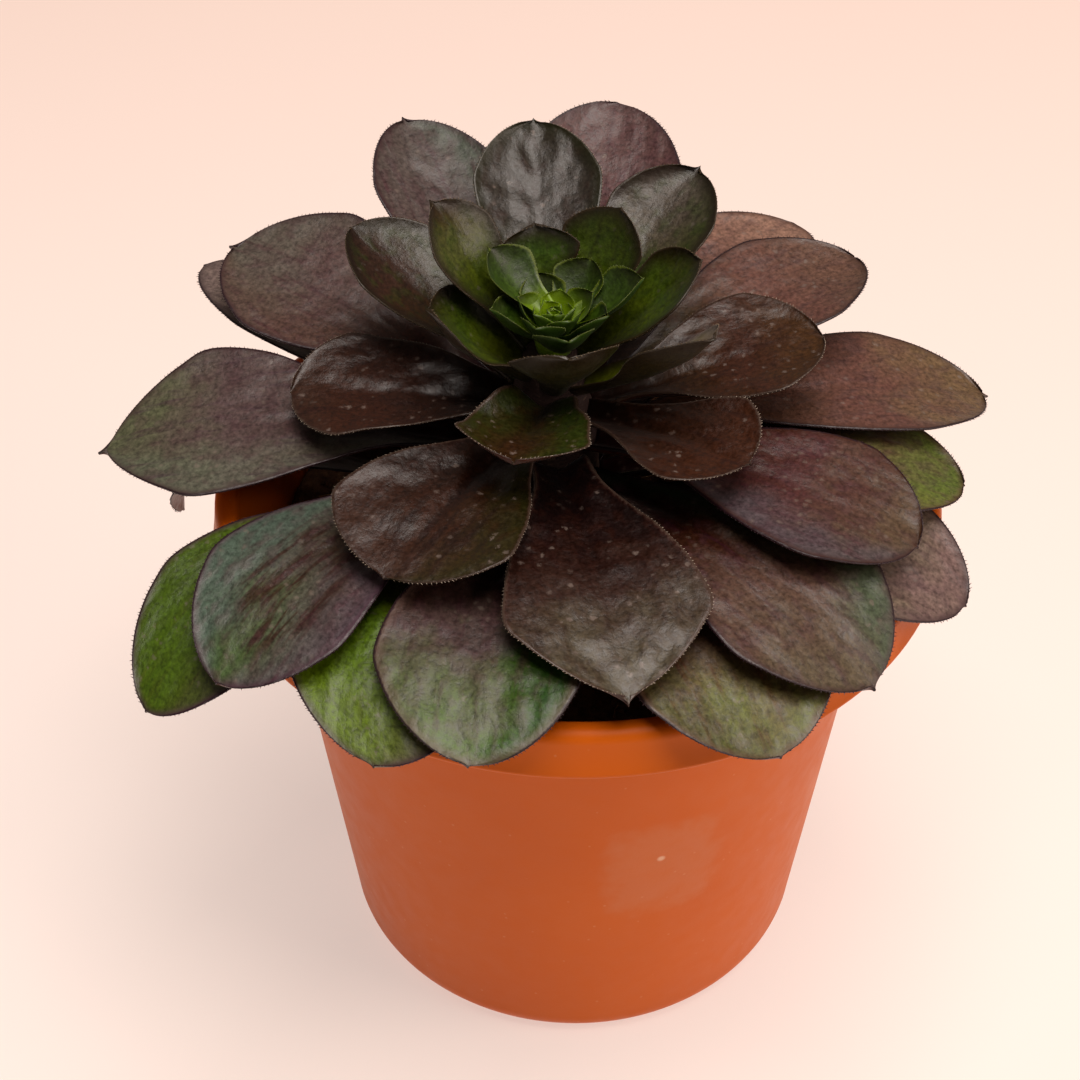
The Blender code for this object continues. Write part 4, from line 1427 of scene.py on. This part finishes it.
@dataclass
class Soil:
    """The peat plug in the pot, with loose crumbs and fibres on its top."""

    top: float = 92.5 * MM
    mound: float = 2.0 * MM
    gap: float = 0.3 * MM
    middle: float = 60 * MM
    rings: int = 46
    steps: int = 150
    lumps: float = 1.3 * MM
    crumbs: int = 900
    crumb_sizes: tuple[float, float] = (0.4 * MM, 1.5 * MM)
    fibres: int = 70
    fibre_lengths: tuple[float, float] = (3 * MM, 9 * MM)
    fibre_radii: tuple[float, float] = (0.12 * MM, 0.3 * MM)
    peat: Peat = Peat()
    fibre: DryFibre = DryFibre()

    def _reach(self, height: float) -> float:
        """The plug's radius at a height."""
        return wall_radius(height) - POT_WALL - self.gap

    def _height(self, radius: float) -> float:
        """The smooth height of the soil's top at a radius."""
        edge = wall_radius(self.top) - POT_WALL
        return self.top + self.mound * (1 - smooth_step(radius / edge, 0.1, 0.95))

    def _spot(self, chance: random.Random, share: float) -> Vector:
        """Draws a place on the soil's smooth top.

        Args:
            chance: The source of the place.
            share: The greatest share of the top's radius.

        Returns:
            The place.
        """
        radius = self._reach(self.top) * math.sqrt(chance.random()) * share
        turn = chance.uniform(0, math.tau)
        return Vector((radius * math.cos(turn), radius * math.sin(turn), self._height(radius)))

    def build(self) -> bpy.types.Object:
        """Makes the plug with its rough top.

        Returns:
            The soil's piece.
        """
        edge = self._reach(self.top)
        foot = self._reach(POT_FOOT_ROUND) - 0.4 * MM
        bottom = POT_FLOOR + 0.6 * MM
        radii = [(edge - 1.0 * MM) * ring / (self.rings - 1) for ring in range(self.rings)]
        bm = spin_profile([
            *[(radius, self._height(radius)) for radius in radii],
            (edge, self.top - 1.2 * MM),
            (self._reach(self.middle), self.middle),
            (foot, POT_FOOT_ROUND),
            (foot - 3 * MM, bottom),
            (0, bottom),
        ], self.steps)
        for vert in bm.verts:
            radius = vert.co.xy.length
            if vert.co.z > self.top - 0.5 * MM and radius < edge - 0.5 * MM:
                lumps = noise.fractal(vert.co / MM * 0.22, 0.8, 2.2, 4)
                vert.co.z += self.lumps * lumps * (1 - smooth_step(radius, edge - 4 * MM, edge))
        self._add_crumbs(bm, random.Random(11))
        return finish_piece("soil_plug", bm, self.peat.material("moist_peat"), "peat_soil", "soil")

    def _add_crumbs(self, bm: bmesh.types.BMesh, chance: random.Random) -> None:
        """Scatters loose crumbs over the top.

        Args:
            bm: The plug's bmesh, which gets the crumbs.
            chance: The source of their places, turns and sizes.
        """
        for _ in range(self.crumbs):
            spot = self._spot(chance, 0.97)
            size = chance.uniform(*self.crumb_sizes)
            spot.z += size * 0.3
            matrix = Matrix.Translation(spot)
            for axis in "ZX":
                matrix @= Matrix.Rotation(chance.uniform(0, math.tau), 4, axis)
            matrix @= Matrix.Diagonal((size, size * chance.uniform(0.5, 0.9), size * 0.6, 1))
            bmesh.ops.create_icosphere(bm, subdivisions=1, radius=1, matrix=matrix)

    def build_fibres(self) -> bpy.types.Object:
        """Makes the pale fibres that lie on the peat.

        Returns:
            The fibres' piece.
        """
        chance = random.Random(23)
        bm = bmesh.new()
        for _ in range(self.fibres):
            spot = self._spot(chance, 0.93)
            spot.z += 1.1 * MM
            length = chance.uniform(*self.fibre_lengths)
            radius = chance.uniform(*self.fibre_radii)
            first = len(bm.verts)
            bmesh.ops.create_cone(
                bm, cap_ends=True, segments=5, radius1=radius, radius2=radius * 0.6, depth=length
            )
            bm.edges.ensure_lookup_table()
            long_ones = [item for item in bm.edges[-15:] if item.calc_length() > length / 2]
            bmesh.ops.subdivide_edges(bm, edges=long_ones, cuts=4)
            bm.verts.ensure_lookup_table()
            verts = bm.verts[first:]
            bend = chance.uniform(-1.2, 1.2)
            for vert in verts:
                share = vert.co.z / length
                vert.co.x += bend * length * (share * share - 0.1)
            tilt = Matrix.Rotation(math.pi / 2 + chance.uniform(-0.12, 0.12), 4, "X")
            spin = Matrix.Rotation(chance.uniform(0, math.tau), 4, "Z")
            bmesh.ops.transform(bm, matrix=Matrix.Translation(spot) @ spin @ tilt, verts=verts)
        return finish_piece("soil_fibres", bm, self.fibre.material(), "peat_soil")


@dataclass(frozen=True)
class Bark:
    """Young corky stem bark: dull brown below and darker purple-brown towards the top, partly its own
    colour where leaves fell lately and partly painted shade under the rosette.
    """

    low: str = "#5A4436"
    high: str = "#2A1410"
    scar: Tint = ("#7A6450", 0.6)

    def material(self) -> bpy.types.Material:
        """Makes the bark's material.

        Returns:
            The material, on Object coordinates.
        """
        material, tree, shader = new_material("corky_stem_bark")
        where = add_node(tree, "TexCoord")["Object"]
        height = add_node(tree, "SeparateXYZ", (where,))[2]
        # Cork cracks are about 1 mm wide and run round the stem
        flat = add_node(tree, "Mapping", {0: where, "Scale": (0.4, 0.4, 1.2)})[0]
        values = {0: flat, "Scale": 900.0, "Detail": 4.0, "Roughness": 0.6}
        cracks = add_node(tree, "TexNoise", values)["Fac"]
        colour = lay_tints(
            tree,
            self.low,
            # Painted shade: the bark darkens towards the top, partly its own purple-brown and partly the
            # shade under the rosette
            (height, 98 * MM, 114 * MM, (self.high, 1.0), False),
            (cracks, 0.55, 0.7, self.scar, False),
        )
        fill_inputs(tree, shader, {
            "Base Color": colour,
            "Normal": add_node(tree, "Bump", {"Strength": 0.7, "Distance": 0.4 * MM, "Height": cracks})[0],
            "Roughness": 0.78,
        })
        return material


@dataclass
class Stem:
    """The short thick stem, ringed by the scars of fallen leaves."""

    foot: float = 58 * MM
    scarred_from: float = 88 * MM
    radius: float = 8.6 * MM
    top_radius: float = 4.4 * MM
    shoulder: float = 24 * MM
    rows: int = 70
    steps: int = 72
    scars: int = 40
    scar_half: tuple[float, float] = (3.0 * MM, 1.1 * MM)
    scar_depth: float = 0.35 * MM
    scar_step: float = 1.0 * MM
    unevenness: float = 0.12 * MM
    bark: Bark = Bark()

    def _radius(self, height: float) -> float:
        """The stem's radius, even in the soil and narrowing through its shoulder to the top."""
        below_top = min(1.0, max(0.0, (STEM_TOP - height) / self.shoulder))
        return self.top_radius + (self.radius - self.top_radius) * math.sin(below_top * math.pi / 2)

    def build(self) -> bpy.types.Object:
        """Makes the stem with its scars.

        Returns:
            The stem's piece.
        """
        drop = STEM_TOP - self.scarred_from
        heights = [STEM_TOP - drop * row / self.rows for row in range(1, self.rows + 1)]
        bm = spin_profile([
            (0, STEM_TOP),
            (self.top_radius - 0.6 * MM, STEM_TOP),
            *[(self._radius(height), height) for height in heights],
            (self.radius, self.foot + 2 * MM),
            (self.radius - 2 * MM, self.foot),
            (0, self.foot),
        ], self.steps)
        for vert in bm.verts:
            radius = vert.co.xy.length
            if radius < 0.5 * MM or vert.co.z < self.scarred_from:
                continue
            heading = math.degrees(math.atan2(vert.co.y, vert.co.x))
            depth = self.unevenness * noise.noise(vert.co / MM * 0.6)
            for scar in range(self.scars):
                aside = math.radians((heading - GOLDEN_ANGLE * scar + 180) % 360 - 180) * radius
                above = vert.co.z - (STEM_TOP - 2 * MM - scar * self.scar_step)
                away = math.hypot(aside / self.scar_half[0], above / self.scar_half[1])
                if away < 1:
                    depth -= self.scar_depth * (1 - away * away)
            vert.co.xy *= 1 + depth / radius
        bmesh.ops.translate(bm, verts=bm.verts, vec=(STEM_X, 0, 0))
        return finish_piece("stem_bark", bm, self.bark.material(), "corky_stem", "stem")


@dataclass(frozen=True)
class SoftBox:
    """A square soft light: its place and side in metres, its power in watts and its colour."""

    name: str
    place: Point
    side: float
    power: float
    code: str


@dataclass
class Studio:
    """The photograph's view, soft light and a pale floor."""

    target: Point = (-6.7 * MM, 0.0, 88.2 * MM)
    distance: float = 382.9 * MM
    elevation: float = math.radians(41.32)
    roll: float = 0.0034
    lens: float = 70.0
    lights: tuple[SoftBox, ...] = (
        SoftBox("overhead soft box", (0.12, -0.1, 1.3), 0.8, 15.5, "#FFF4EC"),
        SoftBox("right soft box", (1.0, -0.35, 0.75), 0.6, 6.0, "#FFEBDD"),
    )
    sky: Tint = ("#FFEADC", 0.14)
    floor_radius: float = 4.0
    floor_near: str = "#FBEBE2"
    # Painted shade: the far paper is darker and pinker where less light reaches it
    floor_far_painted_shade: str = "#F5D8CA"
    glow: float = 0.6

    def _aim(self, data: bpy.types.Camera | bpy.types.Light, place: Vector) -> bpy.types.Object:
        """Sets a camera or a light so that it faces the plant.

        Args:
            data: The camera or the light.
            place: Where it stands.

        Returns:
            Its object.
        """
        obj = bpy.data.objects.new(data.name, data)
        bpy.context.scene.collection.objects.link(obj)
        aim = (Vector(self.target) - place).to_track_quat("-Z", "Y")
        obj.matrix_world = Matrix.Translation(place) @ aim.to_matrix().to_4x4()
        return obj

    def _paper(self) -> bpy.types.Material:
        """Makes the floor's matt paper.

        Returns:
            The material, on Object coordinates.
        """
        material, tree, shader = new_material("matt_paper_sweep")
        where = add_node(tree, "TexCoord")["Object"]
        # The paper is paler in front and darker and pinker behind, as painted shade where less light
        # reaches it
        depth = add_node(tree, "SeparateXYZ", (where,))[1]
        colour = lay_tints(tree, self.floor_near, (depth, -0.1, 0.5, (self.floor_far_painted_shade, 1.0), True))
        dimmed = add_node(tree, "VectorMath", {0: colour, "Scale": 0.5}, operation="SCALE")[0]
        # The sheet is lit from below as well, which keeps its shadows faint
        glow = {"Emission Color": colour, "Emission Strength": self.glow}
        fill_inputs(tree, shader, {"Base Color": dimmed, "Roughness": 0.9, **glow})
        return material

    def build(self) -> None:
        """Sets the camera, the lights, the sky and the floor."""
        scene = bpy.context.scene
        scene.view_settings.view_transform = "Standard"
        camera = bpy.data.cameras.new("camera")
        camera.sensor_width = 36
        camera.lens = self.lens
        camera.clip_start = 10 * MM
        back = Vector((0, -math.cos(self.elevation), math.sin(self.elevation)))
        scene.camera = self._aim(camera, Vector(self.target) + back * self.distance)
        scene.camera.matrix_world @= Matrix.Rotation(-self.roll, 4, "Z")
        for box in self.lights:
            light = bpy.data.lights.new(box.name, "AREA")
            light.size = box.side
            light.energy = box.power
            light.color = linear(box.code)[:3]
            self._aim(light, Vector(box.place))
        world = bpy.data.worlds.new("studio")
        world.use_nodes = True
        scene.world = world
        sky = dict(zip(("Color", "Strength"), self.sky))
        fill_inputs(world.node_tree, world.node_tree.nodes["Background"], sky)
        bm = bmesh.new()
        bmesh.ops.create_circle(bm, cap_ends=True, segments=96, radius=self.floor_radius)
        floor = link_mesh("floor", bm)
        floor.data.materials.append(self._paper())


def main() -> None:
    """Builds the studio, the pot, the soil, the stem, the leaves and the heart."""
    logging.basicConfig(level=logging.INFO, format="%(message)s")
    Studio().build()
    soil = Soil()
    pieces = [Pot().build(), soil.build(), soil.build_fibres(), Stem().build()]
    nodes = sorted(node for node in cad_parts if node.startswith("leaf"))
    trees = {node: mesh_tree(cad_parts[node].data) for node in nodes}
    leaves = [
        Leaf(node, number, leaf_finish(node), point=TIP_POINTS.get(node, ROUNDED_TIP)).build(trees)
        for number, node in enumerate(nodes, 1)
    ]
    for piece in pieces + leaves + [Heart().build(leaves)]:
        LOG.info("%s: %d faces", piece.name, len(piece.data.polygons))


if __name__ == "__main__":
    main()
